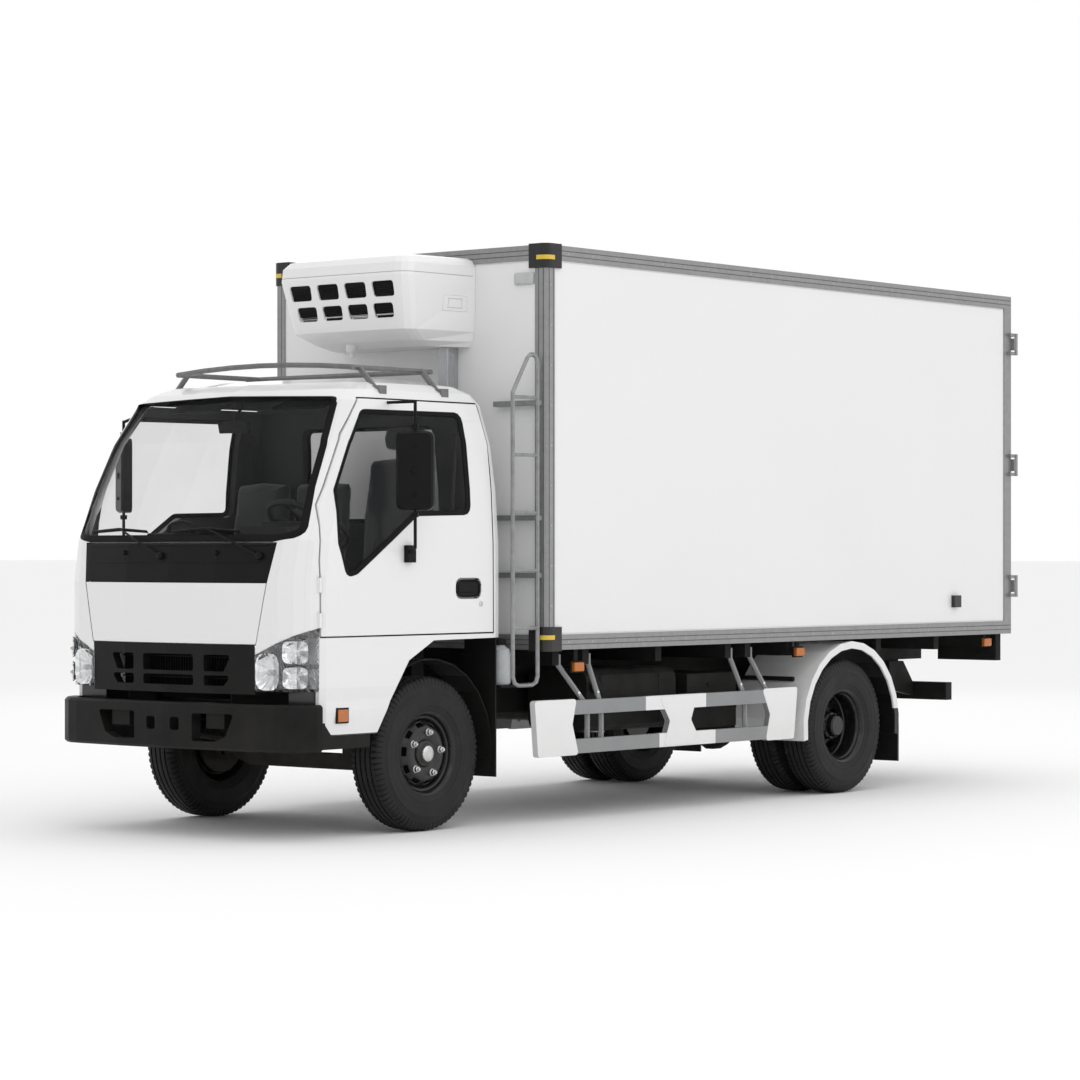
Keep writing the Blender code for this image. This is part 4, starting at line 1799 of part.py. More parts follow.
def front_arch(side):
    """The black step, arch liner and flap round a front wheel, fixed to the cab."""
    inner = side * (CAB_STEP_INSIDE + SEAT_GAP)
    skin = side * (CAB_WIDTH / 2 - CAB_WALL - SEAT_GAP)
    outer = side * (CAB_WIDTH / 2 - CAB_WALL / 2)
    low = CAB_BOTTOM + STEP_LEVEL_SHARE * CAB_HEIGHT - STEP_DROP
    rear = -ARCH_RADIUS + ARCH_LINER
    step = block((min(inner, outer), pillar_edge(), low), (max(inner, outer), rear, low + STEP_DROP * 2))
    centre = (0.0, TYRE_RADIUS)
    band = arc(centre, ARCH_RADIUS, LINER_START, LINER_END, LINER_STEPS)
    band += arc(centre, ARCH_RADIUS - ARCH_LINER, LINER_END, LINER_START, LINER_STEPS)
    liner = prism(band, "X", min(inner, skin), max(inner, skin))
    flap_y = ARCH_RADIUS - ARCH_LINER
    flap = block((min(inner, outer), flap_y, ARCH_FLAP_BOTTOM), (max(inner, outer), flap_y + FLAP_THICKNESS, CAB_REAR_FLOOR_Z + OVERRUN))
    body = cut(cab_form(-SEAT_GAP), *underside_cutters(SEAT_GAP))
    return cut(fused(step, liner, flap), body)


# The step's top as a share of the cab's height, and the arch liner's arc in degrees
STEP_LEVEL_SHARE = 0.018
LINER_START = -6
LINER_END = 173
LINER_STEPS = 12


# Assembly

def build_cab(root, finish):
    """The cab's fixed pieces."""
    white = finish["white_paint"]
    black = finish["black_plastic"]
    piece("cab_shell", cab_shell(), white, root)
    piece("cowl_panel", front_skin(COWL_SHARES, SEAT_GAP, PANEL_DEPTH), black, root)
    piece("front_panel", front_skin(LID_SHARES, SEAT_GAP, PANEL_DEPTH), white, root)
    piece("grille", grille(), black, root)
    piece("headlamp_left", headlamp(1.0), finish["lamp_glass"], root)
    piece("headlamp_right", headlamp(-1.0), finish["lamp_glass"], root)
    piece("front_bumper", front_bumper(), black, root)
    piece("windscreen", windscreen(), finish["clear_glass"], root)
    piece("rear_window", rear_window(), finish["clear_glass"], root)
    piece("roof_rack", roof_rack(), finish["galvanised"], root)
    piece("dashboard", dashboard(), finish["grey_plastic"], root)
    driver_x = STEERING_X
    piece("driver_seat", seat(driver_x, DRIVER_SEAT_WIDTH, SEAT_BACK_TOP, True), finish["grey_fabric"], root)
    bench_x = driver_x - DRIVER_SEAT_WIDTH / 2 - SEAT_SIDE_GAP - PASSENGER_SEAT_WIDTH / 2
    piece("passenger_seat", seat(bench_x, PASSENGER_SEAT_WIDTH, SEAT_BACK_TOP - SEAT_BACK_DEPTH, False), finish["grey_fabric"], root)


def build_doors(root, finish):
    """Each cab door with its glass and mirror on its hinge."""
    for name, side, along, drop in (("left", 1.0, MIRROR_LEFT_Y, 0.0), ("right", -1.0, MIRROR_RIGHT_Y, MIRROR_FOOT)):
        x, y = hinge_axis(side)
        hinge = empty(f"cab_door_hinge_{name}", root, (x, y, CAB_FLOOR_Z))
        origin = (x, y, CAB_FLOOR_Z)
        piece(f"cab_door_{name}", cab_door(side), finish["white_paint"], hinge, origin)
        piece(f"door_glass_{name}", door_glass(side), finish["clear_glass"], hinge, origin)
        piece(f"mirror_{name}", mirror(side, along, drop), finish["black_plastic"], hinge, origin)


def build_wheels(root, finish):
    """Front wheels on their knuckles, twin rear wheels on the axle."""
    for name, side in (("left", 1.0), ("right", -1.0)):
        pivot = (side * KINGPIN_X, 0.0, TYRE_RADIUS)
        steering = empty(f"kingpin_{name}", root, pivot)
        piece(f"knuckle_{name}", knuckle(side), finish["cast_metal"], steering, pivot)
        centre = (side * FRONT_TRACK / 2, 0.0, TYRE_RADIUS)
        spin = empty(f"front_wheel_{name}", steering, centre)
        piece(f"rim_front_{name}", front_rim(side), finish["black_paint"], spin, centre)
        piece(f"tyre_front_{name}", tyre(side * FRONT_TRACK / 2), finish["tyre_rubber"], spin, centre)
        hub = (side * REAR_TRACK / 2, WHEELBASE, TYRE_RADIUS)
        rear_spin = empty(f"rear_wheel_{name}", root, hub)
        rear = (0.0, WHEELBASE, 0.0)
        piece(f"rim_rear_{name}", shifted(rear_rim(side), rear), finish["black_paint"], rear_spin, hub)
        for place, sign in (("outer", 1.0), ("inner", -1.0)):
            x = side * (REAR_TRACK / 2 + sign * DUAL_SPACING / 2)
            piece(f"tyre_rear_{name}_{place}", shifted(tyre(x), rear), finish["tyre_rubber"], rear_spin, hub)


def build_chassis(root, finish):
    """Frame, axles, drive line and what hangs on the frame."""
    dark = finish["black_paint"]
    stays = mudguard_stays(1.0) + mudguard_stays(-1.0)
    piece("chassis_frame", fused(chassis_frame(), *stays), dark, root)
    piece("front_axle", front_axle(), finish["cast_metal"], root)
    piece("rear_axle", rear_axle(), finish["cast_metal"], root)
    piece("engine_block", engine_block(), finish["cast_metal"], root)
    piece("gearbox_and_propshaft", gearbox_and_propshaft(), finish["cast_metal"], root)
    piece("fuel_tank", fuel_tank(), dark, root)
    piece("battery_box", battery_box(), dark, root)
    piece("exhaust", exhaust(), finish["cast_metal"], root)
    piece("rear_underrun", rear_underrun(), dark, root)
    for name, side in (("left", 1.0), ("right", -1.0)):
        piece(f"side_guard_{name}", side_guard(side), finish["panel_white"], root)
        piece(f"rear_mudguard_{name}", rear_mudguard(side), finish["panel_white"], root)
        piece(f"front_arch_{name}", front_arch(side), finish["black_plastic"], root)


def build_box(root, finish):
    """The insulated box, its rear doors, refrigeration unit and ladder."""
    piece("box_subframe", box_subframe(), finish["black_paint"], root)
    for name, mesh in box_panels().items():
        piece(name, mesh, finish["panel_white"], root)
    frame = fused(edge_frame(), *hinge_brackets(), *corner_caps())
    frame = cut(frame, box_hollow())
    piece("box_edge_frame", frame, finish["aluminium"], root)
    for name, side in (("left", 1.0), ("right", -1.0)):
        x, y = rear_hinge(side)
        hinge = empty(f"box_door_hinge_{name}", root, (x, y, BOX_BOTTOM))
        piece(f"box_door_{name}", box_door(side), finish["panel_white"], hinge, (x, y, BOX_BOTTOM))
    piece("refrigeration_unit", refrigeration_unit(), finish["white_paint"], root)
    piece("evaporator", evaporator(), finish["panel_white"], root)
    piece("service_duct", service_duct(), finish["aluminium"], root)
    piece("access_ladder", access_ladder(), finish["galvanised"], root)


def build_steering(root, finish):
    """The steering wheel on its tilted shaft."""
    centre = (STEERING_X, -STEERING_Y, STEERING_Z)
    shaft = empty("steering_shaft", root, centre)
    piece("steering_wheel", steering_wheel(), finish["grey_plastic"], shaft, centre)


def main():
    """Clears the scene and builds the truck."""
    for old in list(bpy.data.objects):
        bpy.data.objects.remove(old)
    finish = all_materials()
    root = bpy.data.objects.new("truck", None)
    bpy.context.scene.collection.objects.link(root)
    root["place"] = (0.0, 0.0, 0.0)
    root.location = (0.0, FRONT_AXLE_Y, 0.0)
    build_cab(root, finish)
    build_doors(root, finish)
    build_steering(root, finish)
    build_wheels(root, finish)
    build_chassis(root, finish)
    build_box(root, finish)


main()
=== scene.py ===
import math

import bmesh
import bpy
from mathutils import Matrix, Vector
from mathutils.bvhtree import BVHTree


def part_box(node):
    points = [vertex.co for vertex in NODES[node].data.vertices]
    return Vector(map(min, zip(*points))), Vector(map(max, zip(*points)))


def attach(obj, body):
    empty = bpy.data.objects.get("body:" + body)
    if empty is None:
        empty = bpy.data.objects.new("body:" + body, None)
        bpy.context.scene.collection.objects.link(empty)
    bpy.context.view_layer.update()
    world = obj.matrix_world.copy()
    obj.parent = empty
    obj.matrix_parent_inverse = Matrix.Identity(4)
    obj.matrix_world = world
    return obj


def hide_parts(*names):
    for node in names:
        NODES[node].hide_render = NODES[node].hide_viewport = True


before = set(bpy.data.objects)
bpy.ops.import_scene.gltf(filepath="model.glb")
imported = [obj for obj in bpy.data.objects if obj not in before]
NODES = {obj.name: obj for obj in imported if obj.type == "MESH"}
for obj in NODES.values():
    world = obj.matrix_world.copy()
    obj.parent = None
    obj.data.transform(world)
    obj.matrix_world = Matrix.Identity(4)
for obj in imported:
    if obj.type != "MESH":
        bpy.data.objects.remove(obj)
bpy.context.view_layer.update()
SIDES = ((1, "left"), (-1, "right"))


def middle_y(node):
    low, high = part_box(node)
    return (low.y + high.y) / 2


# Places in the frame's own axes
AXLE_Y = middle_y("tyre_front_left")
REAR_Y = middle_y("tyre_rear_left_outer")
DOOR_REAR = 5.09
BOX_REAR_Y = AXLE_Y + DOOR_REAR
BOX_FRONT_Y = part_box("box_front_wall")[0].y
EDGE_FRONT_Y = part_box("box_edge_frame")[0].y
BOX_SKIN_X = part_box("box_wall_left")[1].x - 0.0263
RAIL_ZS = (2.842, 0.898)
TYRE_RADIUS = 0.375
SIPES = 84
TREAD_PITCHES = 72
LAMP_INNER_X = 0.545
LAMP_TOP_INNER = 0.871
LAMP_LOW, LAMP_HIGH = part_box("headlamp_left")
LAMP_TOP_SLOPE = (LAMP_HIGH.z - LAMP_TOP_INNER) / (LAMP_HIGH.x - LAMP_LOW.x)


def grey(level):
    return (level, level, level)


DUST = (0.3, 0.27, 0.23)
WHITE = grey(0.8)
BLACK_PAINT = grey(0.008)
EVEN = grey(1.0)


# Materials

def fill(tree, socket, value):
    """Sets a socket to a number or a colour, or links it to another node's output."""
    if isinstance(value, Value):
        tree.links.new(value.socket, socket)
    elif isinstance(value, tuple):
        socket.default_value = (*value, 1.0)
    else:
        socket.default_value = value


def combine(operation, *values):
    """A math node over shader values and plain numbers."""
    tree = next(value.tree for value in values if isinstance(value, Value))
    node = tree.nodes.new("ShaderNodeMath")
    node.operation = operation
    for socket, value in zip(node.inputs, values):
        fill(tree, socket, value)
    return Value(tree, node.outputs[0])


def operator(operation):
    return lambda *values: combine(operation, *values)


class Value:
    """A node's output. Arithmetic makes math nodes, and a comparison gives 1 where it holds."""

    def __init__(self, tree, socket):
        self.tree = tree
        self.socket = socket

    __add__ = operator("ADD")
    __sub__ = operator("SUBTRACT")
    __mul__ = __and__ = operator("MULTIPLY")
    __or__ = operator("MAXIMUM")
    __abs__ = operator("ABSOLUTE")
    __lt__ = operator("LESS_THAN")
    __gt__ = operator("GREATER_THAN")

    def inside(self, low, high):
        """One where the value lies between two limits."""
        return (self > low) & (self < high)


def distance(first, second):
    return combine("SQRT", first * first + second * second)


def wave(value, pitch):
    return combine("SINE", value * (math.tau / pitch))


def scaled(colour, share):
    return tuple(channel * share for channel in colour)


class Shade:
    """A Principled material built up from nodes that read only object coordinates."""

    def __init__(self, name, colour, rough, metallic=0.0, scale=EVEN, specular=0.5):
        self.made = bpy.data.materials.new(name)
        self.made.use_nodes = True
        self.made.diffuse_color = (*colour, 1.0)
        self.tree = self.made.node_tree
        self.place = self.node("TexCoord", "Object")
        self.x, self.y, self.z = (Value(self.tree, socket) for socket in
                                  self.node("SeparateXYZ", 0, Vector=self.place).socket.node.outputs)
        self.place = self.node("Mapping", 0, Vector=self.place)
        self.place.socket.node.inputs["Scale"].default_value = scale
        self.colour = colour
        self.rough = rough
        self.metallic = metallic
        self.specular = specular
        self.height = None

    def node(self, kind, output, **inputs):
        """Makes a node with these inputs and gives one of its outputs."""
        made = self.tree.nodes.new("ShaderNode" + kind)
        for name, value in inputs.items():
            fill(self.tree, made.inputs[name.replace("_", " ")], value)
        return Value(self.tree, made.outputs[output])

    def spread(self, value, low, high, first=0.0, second=1.0):
        return self.node("MapRange", 0, Value=value, From_Min=low, From_Max=high, To_Min=first, To_Max=second)

    def noise(self, scale, detail=3.0):
        return self.node("TexNoise", "Fac", Vector=self.place, Scale=scale, Detail=detail)

    def tint(self, share, colour):
        """Mixes a colour over the one so far."""
        node = self.tree.nodes.new("ShaderNodeMix")
        node.data_type = "RGBA"
        for index, value in ((0, share), (6, self.colour), (7, colour)):
            fill(self.tree, node.inputs[index], value)
        self.colour = Value(self.tree, node.outputs[2])
        return self

    def vary(self, scale, amount, colour):
        """Lets a second colour show through in soft patches."""
        return self.tint(self.patches(scale, 3.0, 0.35, 0.75, amount), colour)

    def uneven(self, scale, amount):
        """Roughness that drifts over the surface."""
        self.rough = self.spread(self.noise(scale, 4.0), 0.3, 0.7, self.rough - amount, self.rough + amount)
        return self

    def grime(self, low, high, amount, scale=7.0):
        """Dust that thickens towards a low height."""
        fade = self.spread(self.z, low, high, 1.0, 0.0)
        patches = self.spread(self.noise(scale, 5.0), 0.32, 0.68, 0.15, 1.0)
        return self.tint(fade * patches * amount, DUST)

    def raise_by(self, value, amount):
        level = value * amount
        self.height = self.height + level if self.height else level
        return self

    def grain(self, scale, amount, detail=3.0):
        return self.raise_by(self.noise(scale, detail), amount)

    def pits(self, scale, amount):
        return self.raise_by(self.node("TexVoronoi", "Distance", Vector=self.place, Scale=scale), amount)

    def patches(self, scale, detail, low, high, amount):
        """Soft patches, as strong as the amount says."""
        return self.spread(self.noise(scale, detail), low, high, 0.0, amount)

    def done(self, edge=0.0, coat=0.0, alpha=1.0, **values):
        """Links everything to the shader; edge is the radius at which sharp edges catch the light."""
        normal = {}
        if edge:
            normal["Normal"] = self.node("Bevel", 0, Radius=edge)
            normal["Normal"].socket.node.samples = 4
        if self.height:
            normal["Normal"] = self.node("Bump", 0, Distance=1.0, Strength=1.0, Height=self.height, **normal)
        values.update(normal)
        values.update(Base_Color=self.colour, Roughness=self.rough, Metallic=self.metallic, Alpha=alpha,
                      Specular_IOR_Level=self.specular, Coat_Weight=coat, Coat_Roughness=0.06)
        inputs = self.tree.nodes["Principled BSDF"].inputs
        for name, value in values.items():
            fill(self.tree, inputs[name.replace("_", " ")], value)
        return self.made


def cab_paint():
    """White paint with a pressed crease low on the sides and black below the headlamps."""
    shade = Shade("cab_paint", WHITE, 0.28)
    shade.grime(0.46, 0.75, 0.1).grain(420.0, 0.00002)
    shade.raise_by(shade.spread(shade.z, 0.655, 0.715) & (abs(shade.x) > 0.78), 0.01)
    front = (shade.y < AXLE_Y - 0.845) | (abs(shade.x) < 0.793)
    sill = shade.z < 0.4975
    shade.tint(front & (shade.z < 0.702) | sill, BLACK_PAINT)
    return shade.done(edge=0.004, coat=0.5)


def panel_white():
    """White panels with bare metal hinge straps behind and a black door catch on the side."""
    shade = Shade("panel_white", grey(0.81), 0.38)
    shade.vary(0.9, 0.5, grey(0.78)).uneven(2.0, 0.05).grime(0.8, 1.1, 0.06, 4.0)
    catch = (abs(shade.x) > BOX_SKIN_X + 0.0015) & (shade.y < BOX_REAR_Y - 0.3)
    strap = (abs(shade.x) > 0.8865) & (shade.y > BOX_REAR_Y - 0.035)
    metal = (shade.y > BOX_REAR_Y + 0.0012) | strap
    shade.tint(shade.patches(26.0, 6.0, 0.7, 0.76, 0.1), grey(0.6))
    shade.grain(1.1, 0.002, 2.0).grain(300.0, 0.00003)
    shade.tint(metal, (0.3, 0.3, 0.305)).tint(catch, grey(0.012))
    shade.metallic = metal * 0.6
    return shade.done(edge=0.003, coat=0.15)


def unit_white():
    """White plastic with the seam of the cooling unit's lid."""
    shade = Shade("unit_white", grey(0.83), 0.34)
    shade.vary(2.0, 0.4, grey(0.79)).uneven(3.0, 0.05)
    seam = shade.z.inside(2.741, 2.744) & (shade.y < BOX_FRONT_Y - 0.02)
    shade.grime(2.385, 2.55, 0.12).grain(500.0, 0.00002)
    shade.tint(seam * 0.7, grey(0.12)).raise_by(seam, -0.0008)
    return shade.done(edge=0.006, coat=0.3)


def guard_white():
    """White end plates and middle plate on grey rails and struts."""
    shade = Shade("guard_paint", (0.25, 0.255, 0.26), 0.42).vary(6.0, 0.5, (0.21, 0.215, 0.22))
    across = abs(abs(shade.x) - 0.905)
    ends = (shade.y < AXLE_Y + 0.79) | (shade.y > AXLE_Y + 2.74)
    upper = shade.y.inside(AXLE_Y + 1.54, AXLE_Y + 2.06) & (shade.z > 0.529)
    lower = shade.y.inside(AXLE_Y + 1.655, AXLE_Y + 2.143) & (shade.z < 0.407)
    rails = (upper | lower) & (across < 0.0153)
    shade.tint(across.inside(0.0152, 0.0175) | ends | rails, WHITE)
    shade.uneven(6.0, 0.06).grime(0.32, 0.6, 0.12).grain(350.0, 0.00004)
    return shade.done(edge=0.003)


def mudguard_white():
    """White mudguards, black inside, with a black flap."""
    shade = Shade("mudguard_plastic", grey(0.79), 0.42).vary(5.0, 0.4, grey(0.72))
    under = distance(shade.y - (REAR_Y + 0.04), shade.z - TYRE_RADIUS) < 0.4632
    flap = (shade.z < 0.458) & (shade.y > REAR_Y)
    shade.grime(0.2, 0.85, 0.15).tint(under & (abs(shade.x) < 0.924) | flap, BLACK_PAINT)
    shade.uneven(9.0, 0.06).grain(260.0, 0.00005)
    return shade.done(edge=0.003)


def edge_metal():
    """Extruded rails, grooved along their length with the grooves darkened as painted shade, and black corner
    caps in front.
    """
    shade = Shade("edge_extrusion", (0.3, 0.3, 0.305), 0.42)
    shade.tint(shade.patches(30.0, 5.0, 0.4, 0.7, 0.4), (0.22, 0.22, 0.225))
    top, base = (abs(shade.z - z) for z in RAIL_ZS)
    level = combine("MINIMUM", top, base)
    upright = abs(shade.y - (EDGE_FRONT_Y + 0.045))
    sideways = abs(abs(shade.x) - 0.902)
    groove_shade = level.inside(0.01, 0.0145) | (upright.inside(0.012, 0.017) | sideways.inside(0.012, 0.017))
    # Painted shade: the grooves are tinted dark for the shadow inside them, beside a shallow bump.
    shade.tint(groove_shade * 0.75, (0.05, 0.05, 0.052)).raise_by(groove_shade, -0.0008)
    cap = (shade.y < EDGE_FRONT_Y + 0.126) & (abs(shade.x) > 0.828) & ((shade.z > 2.764) | (shade.z < 0.976))
    shade.tint(cap, BLACK_PAINT).grime(0.85, 1.0, 0.06).uneven(14.0, 0.08)
    shade.metallic = combine("SUBTRACT", 0.55, cap * 0.55)
    return shade.done(edge=0.0025)


def bare_metal(name, colour, rough, grain=EVEN, metallic=0.8):
    shade = Shade(name, colour, rough, metallic, scale=grain)
    shade.tint(shade.patches(24.0, 6.0, 0.35, 0.72, 0.6), scaled(colour, 0.62))
    shade.uneven(18.0, 0.1).grain(160.0, 0.00006, 4.0)
    return shade.done(edge=0.002)


def black_plastic(name="black_plastic", colour=BLACK_PAINT, rough=0.46, dust=0.03):
    shade = Shade(name, colour, rough, specular=0.12).vary(5.0, 0.4, scaled(colour, 1.5)).uneven(6.0, 0.06)
    shade.grime(0.4, 1.0, dust).pits(620.0, 0.0001).grain(900.0, 0.00004)
    return shade.done(edge=0.003)


def tyre_rubber():
    """Rubber with sipes over the tread, darkened as painted shade, and moulded rings on the side walls."""
    shade = Shade("tyre_rubber", grey(0.013), 0.6, specular=0.25)
    shade.vary(9.0, 0.5, (0.018, 0.018, 0.017)).uneven(8.0, 0.06)
    shade.tint(shade.patches(15.0, 6.0, 0.5, 0.8, 0.05), (0.15, 0.14, 0.125))
    shade.grain(700.0, 0.00007, 3.0)
    rear = shade.y > (AXLE_Y + REAR_Y) / 2
    ahead = shade.y - (rear * (REAR_Y - AXLE_Y) + AXLE_Y)
    above = shade.z - TYRE_RADIUS
    radius = distance(ahead, above)
    turn = combine("FRACT", combine("ARCTAN2", above, ahead) * (SIPES / math.tau))
    sipe_shade = turn.inside(0.0, 0.34) & radius.inside(0.334, 0.3715)
    rings = radius.inside(0.295, 0.2965) | radius.inside(0.326, 0.3275)
    # Painted shade: the sipes are tinted near black for the shadow in their slots, beside a shallow bump.
    shade.raise_by(sipe_shade, -0.0025).tint(sipe_shade, grey(0.002)).raise_by(rings, 0.0008)
    return shade.done()


def rim_black():
    shade = Shade("rim_black", grey(0.007), 0.3, specular=0.35)
    shade.vary(12.0, 0.5, (0.014, 0.014, 0.013)).uneven(8.0, 0.07)
    shade.tint(shade.patches(40.0, 6.0, 0.6, 0.8, 0.1), (0.12, 0.11, 0.1))
    shade.grain(300.0, 0.00006)
    return shade.done(edge=0.002, coat=0.2)


def glass(name="window_glass", tint=(0.01, 0.013, 0.013), thin=0.06):
    """Dark glass whose see-through share falls as the surface turns away."""
    shade = Shade(name, tint, 0.02, specular=0.9)
    facing = shade.node("LayerWeight", "Facing", Blend=0.5)
    smear = shade.patches(3.0, 4.0, 0.4, 0.8, 0.02)
    shade.rough = shade.spread(shade.noise(6.0, 3.0), 0.3, 0.7, 0.015, 0.035)
    return shade.done(alpha=shade.spread(combine("POWER", facing, 4.0), 0.0, 1.0, thin, 1.0) + smear)


def lens(name, colour, alpha, rough=0.1):
    shade = Shade(name, colour, rough, specular=0.6).vary(30.0, 0.4, scaled(colour, 0.7))
    shade.raise_by(wave(shade.x, 0.006), 0.0001).grain(90.0, 0.0001)
    return shade.done(coat=0.3, alpha=alpha)


def lamp_lens():
    """A clear lens with the lamp's black band, foot and bars."""
    shade = Shade("lamp_lens", (0.75, 0.78, 0.8), 0.03, specular=0.9)
    across = abs(shade.x)
    top = combine("ADD", LAMP_TOP_INNER, (across - LAMP_INNER_X) * LAMP_TOP_SLOPE)
    post = (across + abs(shade.z - 0.83) * -0.14).inside(0.688, 0.7)
    bar = shade.z.inside(0.806, 0.828) & (across > 0.693)
    black = ((shade.z > top - 0.036) | (shade.z < 0.712)) | (post | bar)
    shade.tint(black, (0.016, 0.016, 0.017)).vary(60.0, 0.2, (0.6, 0.62, 0.64))
    return shade.done(coat=0.5, alpha=black | 0.1)


def lamp_facets():
    """Chrome pressed in flutes."""
    shade = Shade("lamp_facets", (0.8, 0.81, 0.82), 0.22, 0.8)
    shade.vary(20.0, 0.5, (0.62, 0.63, 0.64)).uneven(30.0, 0.05)
    shade.raise_by(wave(shade.x, 0.021) * wave(shade.z, 0.026), 0.0022)
    return shade.done()


def weave(name, colour, pitch=0.004):
    shade = Shade(name, colour, 0.88)
    pattern = wave(shade.x + shade.y, pitch) * wave(shade.z - shade.x, pitch)
    shade.tint(shade.spread(pattern, -1.0, 1.0, 0.0, 0.5), scaled(colour, 0.6))
    shade.vary(3.0, 0.5, scaled(colour, 0.75)).raise_by(pattern, 0.0002).grain(14.0, 0.001)
    return shade.done(Sheen_Weight=0.3)


PAINT = cab_paint()
PANEL = panel_white()
UNIT = unit_white()
GUARD = guard_white()
MUDGUARD = mudguard_white()
EDGE = edge_metal()
RACK = bare_metal("rack_tube", (0.2, 0.2, 0.205), 0.45, metallic=0.6)
TUBE = bare_metal("galvanised_tube", (0.33, 0.335, 0.34), 0.42)
DUCT = bare_metal("duct_sheet", (0.5, 0.51, 0.52), 0.36, (6.0, 6.0, 0.4), 0.7)
STEEL = bare_metal("bright_steel", (0.62, 0.62, 0.61), 0.28, metallic=1.0)
CHROME = bare_metal("lamp_chrome", (0.9, 0.91, 0.92), 0.09, metallic=1.0)
PLASTIC = black_plastic()
TRIM = black_plastic("trim_plastic", grey(0.007), 0.38, 0.02)
RUBBER = black_plastic("seal_rubber", grey(0.006), 0.6, 0.02)
DASH = black_plastic("dash_plastic", (0.03, 0.03, 0.031), 0.58, 0.0)
TYRE = tyre_rubber()
RIM = rim_black()
GLASS = glass()
CLEAR = glass("lamp_cover", (0.5, 0.52, 0.53), 0.1)
LENS = lamp_lens()
FACETS = lamp_facets()
AMBER = lens("amber_lens", (0.52, 0.14, 0.012), 0.96)
RED = lens("red_lens", (0.52, 0.012, 0.01), 0.97)
MILK = lens("white_lens", (0.52, 0.53, 0.53), 0.97)
YELLOW = lens("yellow_sticker", (0.74, 0.5, 0.03), 1.0, 0.35)
BOTTLE = lens("bottle_plastic", (0.48, 0.5, 0.51), 0.93, 0.4)
CLOTH = weave("seat_cloth", (0.06, 0.061, 0.065))
BELT = weave("belt_webbing", (0.03, 0.03, 0.032), 0.0024)
MIRROR = Shade("mirror_glass", (0.82, 0.84, 0.85), 0.03, 1.0).vary(3.0, 0.2, (0.74, 0.76, 0.78))
MIRROR = MIRROR.uneven(9.0, 0.01).done()
FLOOR = Shade("floor_paper", grey(0.98), 0.8, specular=0.1).vary(0.4, 0.3, grey(0.975)).done()
LINING = Shade("cab_lining", (0.085, 0.085, 0.088), 0.8, specular=0.2).vary(6.0, 0.5, (0.06, 0.06, 0.062))
LINING = LINING.uneven(10.0, 0.06).pits(500.0, 0.0001).done(edge=0.003)
BLACK = Shade("chassis_black", grey(0.01), 0.55, specular=0.1).vary(4.0, 0.5, (0.018, 0.017, 0.016))
BLACK = BLACK.uneven(10.0, 0.12).grime(0.2, 0.95, 0.05).grain(220.0, 0.00012, 5.0).done(edge=0.002)
CAST = Shade("cast_dark", (0.022, 0.021, 0.02), 0.62, 0.3, specular=0.2).vary(8.0, 0.6, (0.04, 0.034, 0.028))
CAST = CAST.uneven(12.0, 0.12).grime(0.2, 0.8, 0.1).grain(150.0, 0.0004, 6.0).done(edge=0.003)

# Starred names stand for a left and a right node
FINISHES = (
    (PAINT, "cab_shell front_panel cab_door_*"),
    (UNIT, "refrigeration_unit evaporator"),
    (PANEL, "box_floor box_roof box_front_wall box_wall_* box_door_*"),
    (GUARD, "side_guard_*"),
    (MUDGUARD, "rear_mudguard_*"),
    (EDGE, "box_edge_frame"),
    (DUCT, "service_duct"),
    (RACK, "roof_rack"),
    (TUBE, "access_ladder"),
    (BLACK, "chassis_frame box_subframe fuel_tank battery_box rear_underrun"),
    (TRIM, "cowl_panel mirror_*"),
    (PLASTIC, "grille front_bumper front_arch_*"),
    (CAST, "knuckle_* front_axle rear_axle engine_block gearbox_and_propshaft exhaust"),
    (GLASS, "windscreen rear_window door_glass_*"),
    (DASH, "dashboard steering_wheel"),
    (RIM, "rim_front_* rim_rear_*"),
    (TYRE, "tyre_front_* tyre_rear_*_inner tyre_rear_*_outer"),
    (CLEAR, "headlamp_*"),
    (CLOTH, "driver_seat passenger_seat"),
)


def finish_mesh(mesh, finish, angle=30.0):
    """Gives a mesh one finish and smooth faces between edges sharper than an angle."""
    mesh.materials.clear()
    mesh.materials.append(finish)
    mesh.shade_smooth()
    mesh.set_sharp_from_angle(angle=math.radians(angle))


for finish, names in FINISHES:
    for name in names.split():
        for _, label in SIDES if "*" in name else SIDES[:1]:
            finish_mesh(NODES[name.replace("*", label)].data, finish)

CAB_MIDDLE = Vector((0.0, AXLE_Y - 0.2, 1.45))
for name in ("cab_shell", "cab_door_left", "cab_door_right"):
    mesh = NODES[name].data
    mesh.materials.append(LINING)
    for face in mesh.polygons:
        centre = Vector(face.center)
        inward = (CAB_MIDDLE - centre).normalized().dot(face.normal) > 0.12
        along = AXLE_Y - 0.96 < centre.y < AXLE_Y + 0.475
        if inward and along and abs(centre.x) < 0.835 and 0.93 < centre.z < 2.17:
            face.material_index = 1


# Mesh helpers: shapes are given in truck axes, with Y counted from the front axle

def mm(*points):
    """Points given in millimetres, in metres."""
    return [tuple(value / 1000 for value in point) for point in points]


def bridge(shape, first, second):
    """Faces between two closed rings with the same number of points."""
    for index in range(len(first)):
        after = (index + 1) % len(first)
        shape.faces.new((first[index], first[after], second[after], second[index]))


def loft(shape, rings):
    """A closed solid through rings of points."""
    rows = [[shape.verts.new(point) for point in ring] for ring in rings]
    for lower, upper in zip(rows, rows[1:]):
        bridge(shape, lower, upper)
    shape.faces.new(rows[0][::-1])
    shape.faces.new(rows[-1])


def ring_loft(shape, rings):
    """A closed solid through rings of points, the last joined to the first."""
    rows = [[shape.verts.new(point) for point in ring] for ring in rings]
    for index, row in enumerate(rows):
        bridge(shape, row, rows[(index + 1) % len(rows)])


def box(shape, low, high):
    """A box by two corners, with X in either order."""
    left, right = sorted((low[0], high[0]))
    corners = [(left, low[1]), (right, low[1]), (right, high[1]), (left, high[1])]
    loft(shape, [[(x, y, z) for x, y in corners] for z in (low[2], high[2])])


